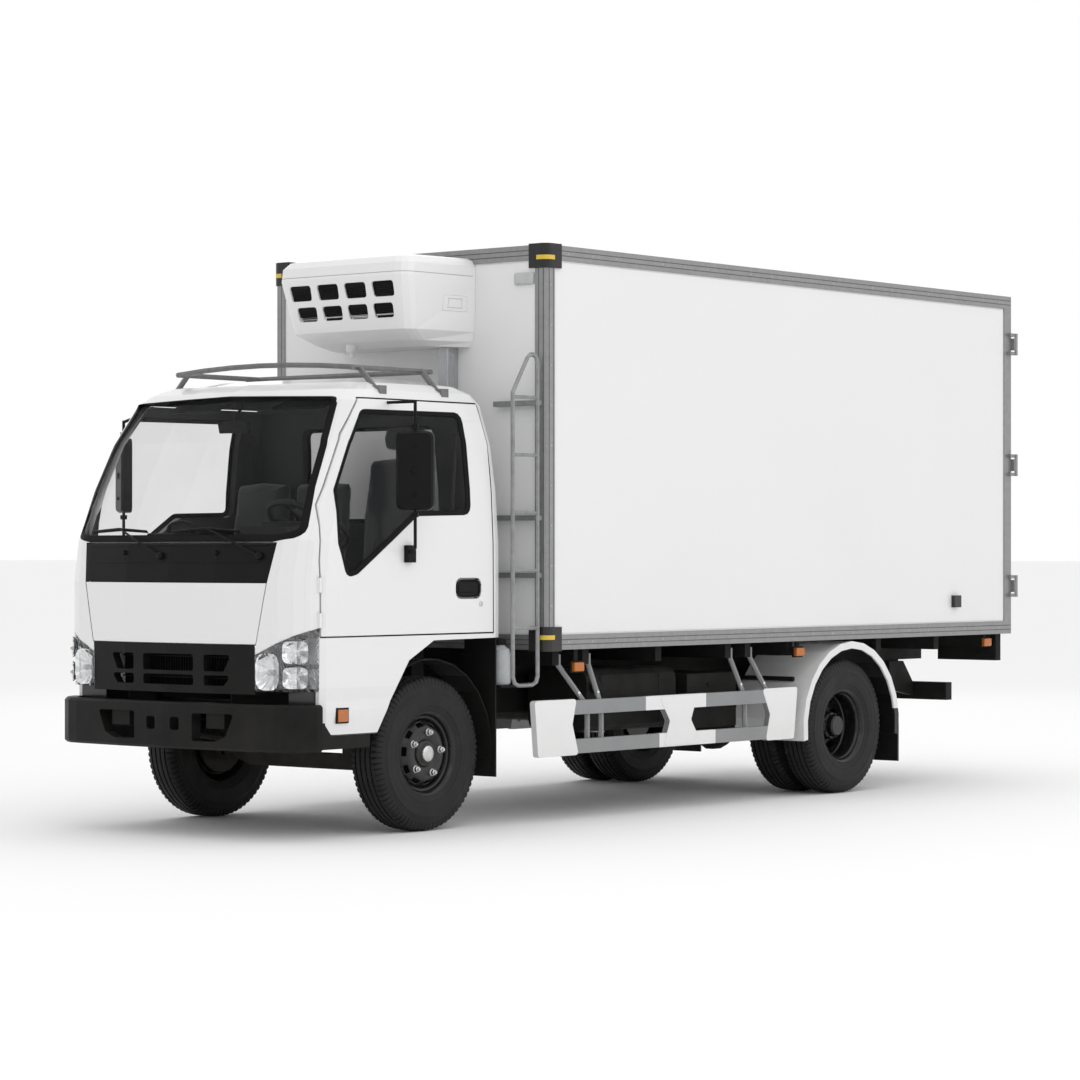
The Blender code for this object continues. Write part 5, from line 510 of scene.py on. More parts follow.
def block(shape, centre, size, turn=0.0, axis="Z"):
    """A box by its centre and size, turned about its middle."""
    spin = Matrix.Rotation(math.radians(turn), 3, axis)
    corners = ((-0.5, -0.5), (0.5, -0.5), (0.5, 0.5), (-0.5, 0.5))
    loft(shape, [[Vector(centre) + spin @ Vector((size[0] * a, size[1] * b, size[2] * c)) for a, b in corners]
                 for c in (-0.5, 0.5)])


def basis(direction):
    ahead = Vector(direction).normalized()
    across = ahead.cross(Vector((0, 0, 1)))
    if across.length < 0.01:
        across = ahead.cross(Vector((0, 1, 0)))
    across.normalize()
    return ahead, across, ahead.cross(across).normalized()


def turns(count):
    """The cosine and sine at even steps of a full turn."""
    return [(math.cos(math.tau * k / count), math.sin(math.tau * k / count)) for k in range(count)]


def discs(shape, centre, direction, rings, sides):
    """Round sections of radius and distance along a direction; a knob, nut, bolt or bowl."""
    ahead, across, upward = basis(direction)
    middle = Vector(centre)
    loft(shape, [[middle + ahead * along + (across * a + upward * b) * radius for a, b in turns(sides)]
                 for radius, along in rings])


def tube(shape, points, radius, sides=10, flat=1.0):
    """A round or flattened tube along points, with a frame carried from point to point."""
    points = [Vector(p) for p in points]
    rings = []
    across = None
    for index, point in enumerate(points):
        before = points[max(index - 1, 0)]
        after = points[min(index + 1, len(points) - 1)]
        ahead = (after - before).normalized()
        if across is None:
            across = basis(ahead)[1]
        across = (across - ahead * across.dot(ahead)).normalized()
        upward = ahead.cross(across)
        rings.append([point + (across * a + upward * b * flat) * radius for a, b in turns(sides)])
    loft(shape, rings)


def curve(points, steps=6):
    """Points on a Catmull-Rom curve through a few given ones."""
    points = [Vector(p) for p in points]
    ends = [points[0] * 2 - points[1]] + points + [points[-1] * 2 - points[-2]]
    out = []
    for a, b, c, d in zip(ends, ends[1:], ends[2:], ends[3:]):
        for t in [step / steps for step in range(steps)]:
            bend = (2 * a - 5 * b + 4 * c - d) * t ** 2 + (3 * b - a - 3 * c + d) * t ** 3
            out.append(0.5 * ((2 * b) + (c - a) * t + bend))
    out.append(points[-1])
    return out


def rounded(value, power):
    """A cosine or sine pressed outwards, which squares a circle's corners."""
    return math.copysign(abs(value) ** power, value)


def squared_outline(count, power, width, height):
    """A rectangle with round corners, by its half width and half height."""
    return [(rounded(a, power) * width, rounded(b, power) * height) for a, b in turns(count)]


def turned(shape, profile, centre, segments, side=1):
    """A closed profile of radius and place along X, turned about the X axis through a centre."""
    ring_loft(shape, [[(centre[0] + side * x, centre[1] + r * a, centre[2] + r * b) for r, x in profile]
                      for a, b in turns(segments)])


def place(name, mesh, finish, body="truck", replaces=(), angle=30.0):
    """Makes an object of a mesh in truck axes and sets it on its body."""
    finish_mesh(mesh, finish, angle)
    mesh.transform(Matrix.Translation((0.0, AXLE_Y, 0.0)))
    made = bpy.data.objects.new(name, mesh)
    bpy.context.scene.collection.objects.link(made)
    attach(made, body)
    if replaces:
        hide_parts(*replaces)
    return made


def thicken(made, thickness, offset):
    thick = made.modifiers.new("thick", "SOLIDIFY")
    thick.thickness = thickness
    thick.offset = offset


def piece(name, shape, finish, body="truck", bevel=0.0, angle=35.0, replaces=(), segments=2):
    """Makes a named piece of a bmesh in truck axes."""
    bmesh.ops.remove_doubles(shape, verts=shape.verts, dist=0.00001)
    bmesh.ops.recalc_face_normals(shape, faces=shape.faces)
    mesh = bpy.data.meshes.new(name)
    shape.to_mesh(mesh)
    shape.free()
    made = place(name, mesh, finish, body, replaces, angle)
    if bevel:
        modifier = made.modifiers.new("bevel", "BEVEL")
        modifier.width = bevel
        modifier.segments = segments
        modifier.limit_method = "ANGLE"
        modifier.angle_limit = math.radians(40)
    return made


# Where a line meets the cab's or the box's skin

def node_shape(name):
    """A CAD node's mesh in truck axes."""
    shape = bmesh.new()
    shape.from_mesh(NODES[name].data)
    bmesh.ops.translate(shape, verts=shape.verts, vec=(0.0, -AXLE_Y, 0.0))
    shape.normal_update()
    return shape


def skin_tree(*names):
    shape = bmesh.new()
    for name in names:
        shape.from_mesh(NODES[name].data)
    bmesh.ops.triangulate(shape, faces=shape.faces)
    bmesh.ops.translate(shape, verts=shape.verts, vec=(0.0, -AXLE_Y, 0.0))
    tree = BVHTree.FromBMesh(shape)
    shape.free()
    return tree


FRONT_SKIN = skin_tree("cab_shell", "cowl_panel", "front_panel", "windscreen", "grille", "headlamp_left",
                       "headlamp_right")
SIDE_SKIN = skin_tree("cab_shell", "cab_door_left", "cab_door_right")
UNIT_SKIN = skin_tree("refrigeration_unit")
OUTSIDE = 2.0


def on_front(x, z, lift=0.0, tree=FRONT_SKIN):
    """The point of the front skin at a place in the front view, lifted off it, with the normal."""
    hit, normal, _, _ = tree.ray_cast(Vector((x, -OUTSIDE, z)), Vector((0.0, 1.0, 0.0)))
    return hit + normal * lift, normal


def on_side(side, y, z, tree=SIDE_SKIN):
    """The point of the side skin at a place in the side view, with the normal."""
    return tree.ray_cast(Vector((side * OUTSIDE, y, z)), Vector((-side, 0.0, 0.0)))[:2]


# Tyres with ribs, grooves and notched shoulders

def tyre_profile():
    bead = mm((190.5, 60), (190.5, 73.5), (196, 79), (205, 83), (218, 88))
    wall = mm((234, 92.5), (236, 94.8), (239, 95), (241, 94), (262, 96.2), (280, 97), (299, 96.2),
              (301, 96.8), (304, 96.4), (306, 94.8), (323, 91.5), (334, 89.5))
    shoulder = mm((344, 88), (356, 85), (365.5, 80), (371.2, 72))
    crown = []
    for middle in (0.047, 0.016):
        crown += [(0.0, middle + 0.0048), (-0.0095, middle + 0.003), (-0.0095, middle - 0.003),
                  (0.0, middle - 0.0048)]
    outer = bead + wall + shoulder + [(TYRE_RADIUS - 0.55 * x * x + drop, x) for drop, x in crown]
    return outer + [(r, -x) for r, x in reversed(outer)]


TYRE_PROFILE = tyre_profile()
STEPS_PER_PITCH = 3
RIB_HALF_WIDTH = 0.055
RIB_LEAN = 0.004


def tyre(name, centre_x, centre_y, body):
    shape = bmesh.new()
    rings = []
    segments = TREAD_PITCHES * STEPS_PER_PITCH
    for step in range(segments):
        turn = math.tau * step / segments
        phase = step % STEPS_PER_PITCH
        ring = []
        for r, x in TYRE_PROFILE:
            cut = 0.0
            if phase == 0 and abs(x) > RIB_HALF_WIDTH and r > 0.33:
                cut = 0.008 if r > 0.35 else 0.005
            leans = abs(x) < RIB_HALF_WIDTH and r > 0.35 and phase == 1
            angle = turn + (math.copysign(RIB_LEAN, x) / TYRE_RADIUS if leans else 0.0)
            ring.append((centre_x + x, centre_y + (r - cut) * math.cos(angle),
                         TYRE_RADIUS + (r - cut) * math.sin(angle)))
        rings.append(ring)
    ring_loft(shape, rings)
    return piece(name + "_tread", shape, TYRE, body, angle=28.0, replaces=(name,))


NUT_CIRCLE = 0.104
DISC_HOLES = 10
STEPS_PER_HOLE = 12
FRONT_WHEEL_X = 0.699
REAR_WHEEL_X = 0.7125
TWIN_REACH = 0.115


def wheel_nuts(shape, centre, side, face, start):
    """Five nuts on washers, each on its stud."""
    for step in range(5):
        turn = math.radians(start) + math.tau * step / 5
        spot = Vector(centre) + Vector((side * face, NUT_CIRCLE * math.cos(turn),
                                        NUT_CIRCLE * math.sin(turn)))
        discs(shape, spot, (side, 0, 0), mm((19, -2), (19, 3), (16.5, 5)), 24)
        discs(shape, spot, (side, 0, 0), mm((16, 4), (16, 17), (13.5, 20)), 6)
        discs(shape, spot, (side, 0, 0), mm((8.5, 15), (8.5, 27), (7, 28.5)), 14)


def disc_with_holes(shape, rings, centre, side, start):
    """A wheel disc between rings, its fourth band cut into a row of windows."""
    segments = DISC_HOLES * STEPS_PER_HOLE
    rows = []
    for step in range(segments):
        turn = math.radians(start) + math.tau * step / segments
        rows.append([shape.verts.new((centre[0] + side * x, centre[1] + r * math.cos(turn),
                                      centre[2] + r * math.sin(turn))) for r, x in rings])
    for step in range(segments):
        window = 3 <= step % STEPS_PER_HOLE < 9
        first, second = rows[step], rows[(step + 1) % segments]
        for index in range(len(rings) - 1):
            if not (window and index == 3):
                shape.faces.new((first[index], first[index + 1], second[index + 1], second[index]))


def rim_profile(seat, inner, seat_edge):
    """The section of a rim's well, by the radii of its bottom from outside and inside."""
    return [(0.203, 0.075), (0.204, 0.08), (0.202, 0.0835), (0.198, 0.082), (0.1925, 0.076), (0.187, 0.07),
            (0.183, 0.056), (seat_edge, 0.05), (inner, 0.04), (inner, -0.03), (0.183, -0.056),
            (0.188, -0.069), (0.198, -0.081), (0.2035, -0.08), (0.2035, -0.075), (0.1904, -0.07),
            (0.1868, -0.054), (seat, -0.033), (seat, 0.044), (0.1868, 0.06), (0.1904, 0.072)]


def front_wheel(side, label):
    centre = (side * FRONT_WHEEL_X, 0.0, TYRE_RADIUS)
    outward = (side, 0, 0)
    body = "wheel_front_" + label
    tyre("tyre_front_" + label, centre[0], 0.0, body)
    shape = bmesh.new()
    turned(shape, rim_profile(0.17, 0.166, 0.172), centre, 72, side)
    piece("wheel_well_front_" + label, shape, RIM, body, angle=30.0, replaces=("rim_front_" + label,))
    shape = bmesh.new()
    rings = mm((166.5, 28), (160, 33), (154, 40), (150, 44), (134, 59), (127, 64), (118, 66), (82, 64),
               (74, 61), (60, 60))
    disc_with_holes(shape, rings, centre, side, 12)
    thicken(piece("wheel_disc_front_" + label, shape, RIM, body, angle=40.0), 0.007, 0.0)
    shape = bmesh.new()
    drum = mm((56, 12), (140, 12), (154, 4), (158, -48), (152, -48), (148, 0), (136, 6), (56, 6))
    turned(shape, drum, centre, 48, side)
    piece("brake_drum_front_" + label, shape, CAST, body, angle=30.0)
    shape = bmesh.new()
    hub = mm((66, 30), (66, 65.5), (61, 71), (50, 73), (46, 78))
    discs(shape, centre, outward, hub, 40)
    piece("wheel_hub_front_" + label, shape, RIM, body, bevel=0.0015)
    shape = bmesh.new()
    cap = mm((43.5, 70), (43.5, 74), (40, 75.5), (40, 83), (38, 87), (31, 90), (16, 91.5), (6, 91.7))
    discs(shape, centre, outward, cap, 40)
    wheel_nuts(shape, centre, side, 0.069, 80 if side > 0 else 28)
    piece("wheel_nuts_front_" + label, shape, STEEL, body, bevel=0.0008)


def rear_wheel(side, label):
    centre = (side * REAR_WHEEL_X, REAR_Y - AXLE_Y, TYRE_RADIUS)
    outward = (side, 0, 0)
    body = "wheel_rear_" + label
    for way, at in ((-1, "inner"), (1, "outer")):
        tyre("tyre_rear_%s_%s" % (label, at), centre[0] + side * way * TWIN_REACH, centre[1], body)
    shape = bmesh.new()
    for way in (-1, 1):
        middle = (centre[0] + side * way * TWIN_REACH, centre[1], centre[2])
        turned(shape, rim_profile(0.1758, 0.172, 0.176), middle, 72, side * way)
    piece("wheel_wells_rear_" + label, shape, RIM, body, angle=30.0, replaces=("rim_rear_" + label,))
    shape = bmesh.new()
    rings = mm((172.5, 85), (169, 70), (164, 50), (160, 38), (145, 16), (138, 10), (128, 8), (90, 8),
               (84, 8), (80, 8))
    for way in (1, -1):
        disc_with_holes(shape, [(r, way * x) for r, x in rings], centre, side, 6)
    thicken(piece("wheel_discs_rear_" + label, shape, RIM, body, angle=40.0), 0.006, 0.0)
    shape = bmesh.new()
    hub = mm((125, -160), (125, -12), (80, -10), (78, 110), (72, 118), (62, 120), (60, 150), (52, 158))
    discs(shape, centre, outward, hub, 40)
    for step in range(8):
        turn = math.tau * (step + 0.5) / 8
        bolt = Vector(centre) + Vector((side * 0.117, 0.068 * math.cos(turn), 0.068 * math.sin(turn)))
        discs(shape, bolt, outward, mm((7, -2), (7, 8)), 6)
    piece("wheel_hub_rear_" + label, shape, RIM, body, bevel=0.0015)
    shape = bmesh.new()
    wheel_nuts(shape, centre, side, 0.011, 70)
    piece("wheel_nuts_rear_" + label, shape, STEEL, body, bevel=0.0008)


for side, label in SIDES:
    front_wheel(side, label)
    rear_wheel(side, label)


# Rubber seals that follow the edges of the windows

def rim_loop(node, direction, limit):
    """The ordered edge of a pane's outer skin, as points and normals in truck axes."""
    shape = bmesh.new()
    shape.from_mesh(NODES[node].data)
    bmesh.ops.remove_doubles(shape, verts=shape.verts, dist=0.00002)
    bmesh.ops.translate(shape, verts=shape.verts, vec=(0.0, -AXLE_Y, 0.0))
    shape.normal_update()
    skin = {face for face in shape.faces if face.normal.dot(Vector(direction)) > limit}
    links = {}
    for edge in shape.edges:
        if len([face for face in edge.link_faces if face in skin]) == 1:
            first, second = edge.verts
            links.setdefault(first, []).append(second)
            links.setdefault(second, []).append(first)
    best = []
    seen = set()
    for start in links:
        if start in seen:
            continue
        loop = [start]
        seen.add(start)
        while True:
            onward = [vert for vert in links[loop[-1]] if vert not in seen]
            if not onward:
                break
            loop.append(onward[0])
            seen.add(onward[0])
        if len(loop) > len(best):
            best = loop
    out = []
    for vert in best:
        normal = sum((face.normal for face in vert.link_faces if face in skin), Vector((0.0, 0.0, 0.0)))
        out.append((vert.co.copy(), normal.normalized()))
    shape.free()
    return out


def seal(name, node, direction, limit, inward, outward, lift, body):
    """A rubber lip along a pane's edge, reaching inward over the glass and outward past it."""
    loop = []
    for point, normal in rim_loop(node, direction, limit):
        if not loop or (point - loop[-1][0]).length > 0.006:
            loop.append((point, normal))
    middle = sum((point for point, _ in loop), Vector((0.0, 0.0, 0.0))) / len(loop)
    section = ((-outward, -0.001), (-outward, lift * 0.6), (-outward * 0.3, lift), (inward * 0.6, lift * 0.9),
               (inward, lift * 0.35), (inward, -0.001))
    rings = []
    for index, (point, normal) in enumerate(loop):
        ahead = (loop[(index + 1) % len(loop)][0] - loop[index - 1][0]).normalized()
        inner = normal.cross(ahead).normalized()
        if inner.dot(middle - point) < 0:
            inner = -inner
        rings.append([point + inner * a + normal * b for a, b in section])
    shape = bmesh.new()
    ring_loft(shape, rings)
    piece(name, shape, RUBBER, body, angle=50.0)


seal("windscreen_seal", "windscreen", (0.0, -0.9, 0.42), 0.25, 0.034, 0.003, 0.0045, "truck")
seal("rear_window_seal", "rear_window", (0.0, 1.0, 0.0), 0.5, 0.02, 0.003, 0.005, "truck")
for side, label in SIDES:
    seal("door_window_seal_" + label, "door_glass_" + label, (side, 0.0, 0.1), 0.6, 0.024, 0.001, 0.0085,
         "cab_door_" + label)


# Wipers, washer jets and the ledges on the cowl

WIPER_Z = 1.452
PIVOT_Z = 1.33
BLADE_STEPS = 12


def wiper(index, pivot_x, elbow_x, tip_x):
    shape = bmesh.new()
    pivot, normal = on_front(pivot_x, PIVOT_Z)
    discs(shape, pivot, normal, mm((19, -4), (19, 12), (15, 20), (8, 23)), 20)
    elbow, _ = on_front(elbow_x, WIPER_Z, 0.024)
    middle, _ = on_front((pivot_x + elbow_x) / 2, 1.398, 0.028)
    tube(shape, curve([pivot + normal * 0.016, middle, elbow], 5), 0.0076, 8, flat=0.6)
    blade = []
    edge = []
    inner_x = elbow_x + (elbow_x - tip_x) * 0.9
    for step in range(BLADE_STEPS + 1):
        x = tip_x + (inner_x - tip_x) * step / BLADE_STEPS
        bow = 0.012 + 0.007 * math.sin(math.pi * step / BLADE_STEPS)
        z = WIPER_Z - 0.01 * abs(step - 6) / 6
        blade.append(on_front(x, z, bow)[0])
        edge.append(on_front(x, z - 0.001, 0.004)[0])
    tube(shape, blade, 0.0062, 8)
    tube(shape, edge, 0.0036, 6)
    for spot in (1, 4, 8, 11):
        tube(shape, [blade[spot], edge[spot]], 0.0036, 6)
    piece("wiper_%d" % index, shape, TRIM, angle=40.0)


wiper(1, -0.06, -0.385, -0.6)
wiper(2, 0.56, 0.215, 0.0)

shape = bmesh.new()
for x in (-0.325, 0.3):
    spot, normal = on_front(x, 1.345)
    discs(shape, spot, normal, mm((13, -3), (12, 8), (7, 16)), 14)
    below = spot + Vector((0.0, 0.0, -0.028))
    discs(shape, below, normal, mm((9, -4), (8, 6)), 12)
for reach, z, radius in mm((560, 1302, 3.5), (600, 1382, 4.5)):
    ledge = [on_front(-reach + 2 * reach * step / 32, z, 0.0005)[0] for step in range(33)]
    tube(shape, ledge, radius, 6)
piece("cowl_details", shape, TRIM, angle=40.0)


# Headlamps: a clear cover over a fluted tray with three reflectors

LAMP_CORNER = (0.62, -0.78, 0.0)
LAMP_AHEAD = (0.1, -1.0, 0.0)


def reflector(shape, centre, direction, radius_across, radius_up, depth, ribs, squareness):
    """A bowl with flutes, as a thin shell; a squareness below 1 fills its corners."""
    ahead, across, upward = basis(direction)
    rows = []
    for share in (1.0, 0.86, 0.7, 0.52, 0.34, 0.16):
        row = []
        for k, (along, rise) in enumerate(turns(ribs * 4)):
            ripple = 0.0022 * math.cos(math.pi * k / 2) * share
            fall = depth * (1.0 - share ** 2) + ripple
            a = rounded(along, squareness) * radius_across * share
            b = rounded(rise, squareness) * radius_up * share
            row.append(shape.verts.new(Vector(centre) + across * a + upward * b - ahead * fall))
        rows.append(row)
    for first, second in zip(rows, rows[1:]):
        bridge(shape, first, second)
    shape.faces.new(rows[-1])


def mirrored(side, point):
    return (side * point[0], point[1], point[2])


def headlamp(side, label):
    source = node_shape("headlamp_" + label)
    facing = Vector((side * 0.45, -0.89, 0.1))
    centre = Vector((side * 0.52, -0.6, 0.82))
    covers, trays = set(), set()
    for face in source.faces:
        outward = (face.calc_center_median() - centre).normalized().dot(face.normal)
        front = face.normal.dot(facing) > 0.25 and outward > 0.45
        (covers if front else trays).add(face.index)
    for name, keep, finish, thickness, stands_for in (
            ("headlamp_cover_", covers, LENS, 0.003, ("headlamp_" + label,)),
            ("headlamp_tray_", trays, FACETS, 0.002, ())):
        shape = source.copy()
        shape.faces.ensure_lookup_table()
        bmesh.ops.delete(shape, geom=[face for face in shape.faces if face.index not in keep],
                         context="FACES")
        mesh = bpy.data.meshes.new(name + label)
        shape.to_mesh(mesh)
        shape.free()
        thicken(place(name + label, mesh, finish, replaces=stands_for), thickness, -1.0)
    source.free()
    shape = bmesh.new()
    for spot, ahead, across, up, depth, ribs, squareness in (
            ((0.622, -0.942, 0.792), LAMP_AHEAD, 0.07, 0.086, 0.045, 16, 0.62),
            ((0.755, -0.893, 0.884), LAMP_CORNER, 0.06, 0.052, 0.032, 10, 0.45),
            ((0.755, -0.893, 0.765), LAMP_CORNER, 0.058, 0.05, 0.032, 10, 0.45)):
        reflector(shape, mirrored(side, spot), mirrored(side, ahead), across, up, depth, ribs, squareness)
    piece("headlamp_reflectors_" + label, shape, CHROME, angle=20.0)
    shape = bmesh.new()
    for spot, ahead, size in (((0.622, -0.915, 0.788), LAMP_AHEAD, 0.014),
                              ((0.757, -0.872, 0.876), LAMP_CORNER, 0.01),
                              ((0.757, -0.872, 0.76), LAMP_CORNER, 0.01)):
        rings = [(size * 0.9, -0.01), (size, 0.0), (size, 0.014), (size * 0.75, 0.022), (size * 0.3, 0.026)]
        discs(shape, mirrored(side, spot), mirrored(side, ahead), rings, 18)
    piece("headlamp_bulbs_" + label, shape, MILK)


for side, label in SIDES:
    headlamp(side, label)


# Behind the grille: the radiator's fins

shape = bmesh.new()
box(shape, (-0.4, -0.872, 0.7), (0.4, -0.866, 0.895))
for step in range(46):
    x = -0.39 + 0.78 * step / 45
    box(shape, (x, -0.886, 0.702), (x + 0.004, -0.872, 0.893))
for z in (0.75, 0.85):
    box(shape, (-0.4, -0.892, z), (0.4, -0.884, z + 0.006))
piece("radiator_fins", shape, BLACK)


# Door handles, locks and the cab's small lamps

DOOR_SKIN_X = 0.845
HANDLE_Y = 0.228
HANDLE_Z = 1.172

for side, label in SIDES:
    body = "cab_door_" + label
    shape = bmesh.new()
    outline = squared_outline(24, 0.55, 0.089, 0.044)
    rings = []
    for wide, tall, lift in ((1.0, 1.0, -0.003), (1.0, 1.0, 0.0015), (0.9, 0.9, 0.0025), (0.84, 0.8, -0.02)):
        rings.append([(side * (DOOR_SKIN_X + lift), HANDLE_Y + a * wide, HANDLE_Z + b * tall)
                      for a, b in outline])
    loft(shape, rings)
    block(shape, (side * (DOOR_SKIN_X - 0.007), 0.214, 1.178), (0.014, 0.12, 0.05))
    piece("door_handle_" + label, shape, TRIM, body, bevel=0.003)
    shape = bmesh.new()
    spot, normal = on_side(side, 0.318, 1.095)
    discs(shape, spot, normal, mm((13, -2), (13, 2), (10, 3.5)), 20)
    piece("door_lock_" + label, shape, STEEL, body)
    shape = bmesh.new()
    cover = bmesh.new()
    spot, normal = on_side(side, -0.665, 0.586)
    block(shape, spot, (0.01, 0.084, 0.074))
    block(cover, spot + normal * 0.004, (0.01, 0.068, 0.058))
    piece("side_lamp_base_" + label, shape, TRIM, bevel=0.003)
    piece("side_lamp_" + label, cover, AMBER, bevel=0.003)


# The box's lamps, blank stickers, corner fixings and the marks of its panels

BOX_FRONT = EDGE_FRONT_Y - AXLE_Y
RIVET_X = 0.9395
RIVET = mm((4.5, 0), (4, 1.6), (2, 2.4))
CORNER_X = 0.904
CORNER_RADIUS = 0.043

shape = bmesh.new()
for side in (1, -1):
    block(shape, (side * 0.795, 0.712, 2.715), (0.124, 0.026, 0.062))
piece("marker_lamps", shape, MILK, bevel=0.009, segments=3)
shape = bmesh.new()
cover = bmesh.new()
for side in (1, -1):
    for y, z in ((1.0, 0.77), (2.935, 0.8), (4.87, 0.812)):
        block(cover, (side * 0.905, y, z), (0.026, 0.078, 0.046))
        block(shape, (side * 0.893, y, z), (0.01, 0.092, 0.06))
        box(shape, (side * 0.886, y - 0.016, z), (side * 0.892, y + 0.016, 0.8596))
piece("side_marker_lamps", cover, AMBER, bevel=0.005)
piece("side_marker_brackets", shape, BLACK, bevel=0.001)
shape = bmesh.new()
for side in (1, -1):
    for z in (2.817, 0.923):
        inner, outer = [], []
        for depth, row in ((0.0004, inner), (0.0014, outer)):
            row.append((side * 0.88, BOX_FRONT - depth))
            reach = CORNER_RADIUS + depth
            for step in range(9):
                turn = math.radians(90.0 * step / 8)
                row.append((side * (CORNER_X + reach * math.sin(turn)),
                            BOX_FRONT + CORNER_RADIUS - reach * math.cos(turn)))
            row.append((side * (CORNER_X + reach), BOX_FRONT + 0.062))
        outline = inner + outer[::-1]
        loft(shape, [[(x, y, z + rise) for x, y in outline] for rise in (-0.011, 0.011)])
piece("corner_stickers", shape, YELLOW)
shape = bmesh.new()
for side in (1, -1):
    along = [(0.88 + 4.08 * step / 21, z) for z in RAIL_ZS for step in range(22)]
    up = [(BOX_FRONT + 0.046, 1.08 + 1.6 * step / 8) for step in range(9)]
    for y, z in along + up:
        discs(shape, (side * RIVET_X, y, z), (side, 0, 0), RIVET, 10)
piece("rail_rivets", shape, DUCT)


# Refrigeration unit: slats and dark plates behind its openings, the plates partly grille mesh and partly
# painted shade, then the drain and side plates

OPENING_DEPTH = 0.06
SLATS = 8


def unit_front(x, z):
    """How far back the unit's slanted front lies at a place beside its openings."""
    return on_front(x, z, tree=UNIT_SKIN)[0].y


def unit_openings():
    """The outlines of the floors of the unit's front openings, in X and Z."""
    low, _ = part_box("refrigeration_unit")
    unit = bmesh.new()
    unit.from_mesh(NODES["refrigeration_unit"].data)
    floors = {}
    for face in unit.faces:
        middle = face.calc_center_median()
        if face.normal.y < -0.99 and abs(middle.y - low.y - OPENING_DEPTH) < 0.002:
            key = (round(middle.x, 1), round(middle.z, 1))
            floors.setdefault(key, []).append([(vert.co.x, vert.co.z) for vert in face.verts])
    unit.free()
    return [outline for outlines in floors.values() for outline in outlines]


# Each opening gets a dark plate just behind its front: partly the grille mesh, partly painted shade over the
# recess walls.
shape = bmesh.new()
for outline in unit_openings():
    left, right = min(x for x, _ in outline), max(x for x, _ in outline)
    base, top = min(z for _, z in outline), max(z for _, z in outline)
    middle_x, middle_z = (left + right) / 2, (base + top) / 2
    plate = []
    for x, z in outline:
        front = unit_front(x + math.copysign(0.008, x - middle_x), z + math.copysign(0.008, z - middle_z))
        plate.append((middle_x + (x - middle_x) * 0.985, front, middle_z + (z - middle_z) * 0.985))
    loft(shape, [[(x, y + back, z) for x, y, z in plate] for back in (0.01, 0.011)])
    for step in range(1, SLATS):
        z = base + (top - base) * step / SLATS
        front = unit_front(right + 0.01, z) if middle_x < 0.0 else unit_front(left - 0.01, z)
        box(shape, (left + 0.006, front + 0.005, z - 0.0012), (right - 0.006, front + 0.009, z + 0.0012))
piece("unit_grille_and_shade_plates", shape, TRIM)
shape = bmesh.new()
funnel = mm((30, -20), (30, 18), (24, 30), (14, 40), (14, 62), (10, 62))
discs(shape, (-0.12, 0.43, 2.4), (0, 0, -1), funnel, 20)
for side in (1, -1):
    corners = [on_side(side, y, z, UNIT_SKIN)[0]
               for y, z in ((0.5, 2.56), (0.66, 2.56), (0.66, 2.64), (0.5, 2.64))]
    loft(shape, [[hit + Vector((side * rise, 0.0, 0.0)) for hit in corners] for rise in (-0.0005, 0.0015)])
piece("unit_fittings", shape, UNIT, bevel=0.0008)


# Mirrors: glass behind, a fixing knob in front and clamps on the rod

MIRROR_X = 0.94
MIRROR_TURN = 33.0

for side, label, along in ((1, "left", 0.268), (-1, "right", 0.38)):
    body = "cab_door_" + label
    spin = Matrix.Rotation(math.radians(side * MIRROR_TURN), 3, "Z")
    centre = Vector((side * MIRROR_X, -along, 1.735))
    shape = bmesh.new()
    outline = squared_outline(32, 0.35, 0.078, 0.176)
    loft(shape, [[centre + spin @ Vector((a, depth, b)) for a, b in outline] for depth in (0.0265, 0.029)])
    piece("mirror_glass_" + label, shape, MIRROR, body)
    shape = bmesh.new()
    front = spin @ Vector((0.0, -1.0, 0.0))
    for height, size in mm((0, 17), (115, 9), (-115, 9)):
        spot = centre + front * 0.026 + Vector((0.0, 0.0, height))
        discs(shape, spot, front, [(size, 0.0), (size, 0.005), (size * 0.7, 0.009)], 20)
    for z in (1.525, 1.945):
        block(shape, (side * MIRROR_X, -along, z), (0.03, 0.03, 0.022), MIRROR_TURN * side)
        discs(shape, (side * MIRROR_X, -along - 0.014, z), (0, -1, 0), mm((6, 0), (6, 6)), 6)
    piece("mirror_fixings_" + label, shape, TRIM, body, bevel=0.001)


# Rear: lamp clusters and door gaskets

LAMP_REAR = 5.035
TAIL_LAMPS = (("red", RED, 0.64, 0.774), ("amber", AMBER, 0.78, 0.872), ("white", MILK, 0.528, 0.634))

shape = bmesh.new()
for side in (1, -1):
    box(shape, (side * 0.52, LAMP_REAR, 0.722), (side * 0.88, LAMP_REAR + 0.012, 0.838))
piece("tail_lamp_bases", shape, TRIM, bevel=0.003)
for tone, finish, first, second in TAIL_LAMPS:
    shape = bmesh.new()
    for side in (1, -1):
        box(shape, (side * first, LAMP_REAR + 0.008, 0.73), (side * second, LAMP_REAR + 0.03, 0.83))
    piece("tail_lamps_" + tone, shape, finish, bevel=0.006)

# Each gasket's strips: from and to along X, from and to along Z
GASKET = ((0.008, 0.022, 0.922, 2.818), (0.864, 0.878, 0.922, 2.818), (0.008, 0.878, 0.919, 0.933),
          (0.008, 0.878, 2.807, 2.821))
for side, label in SIDES:
    shape = bmesh.new()
    for first, second, base, top in GASKET:
        box(shape, (side * first, DOOR_REAR - 0.002, base), (side * second, DOOR_REAR + 0.003, top))
    piece("door_gasket_" + label, shape, RUBBER, "box_door_" + label, bevel=0.001)


# Cab inside: binnacle, wheel boss, gear lever, mirror, visors, belts and tray

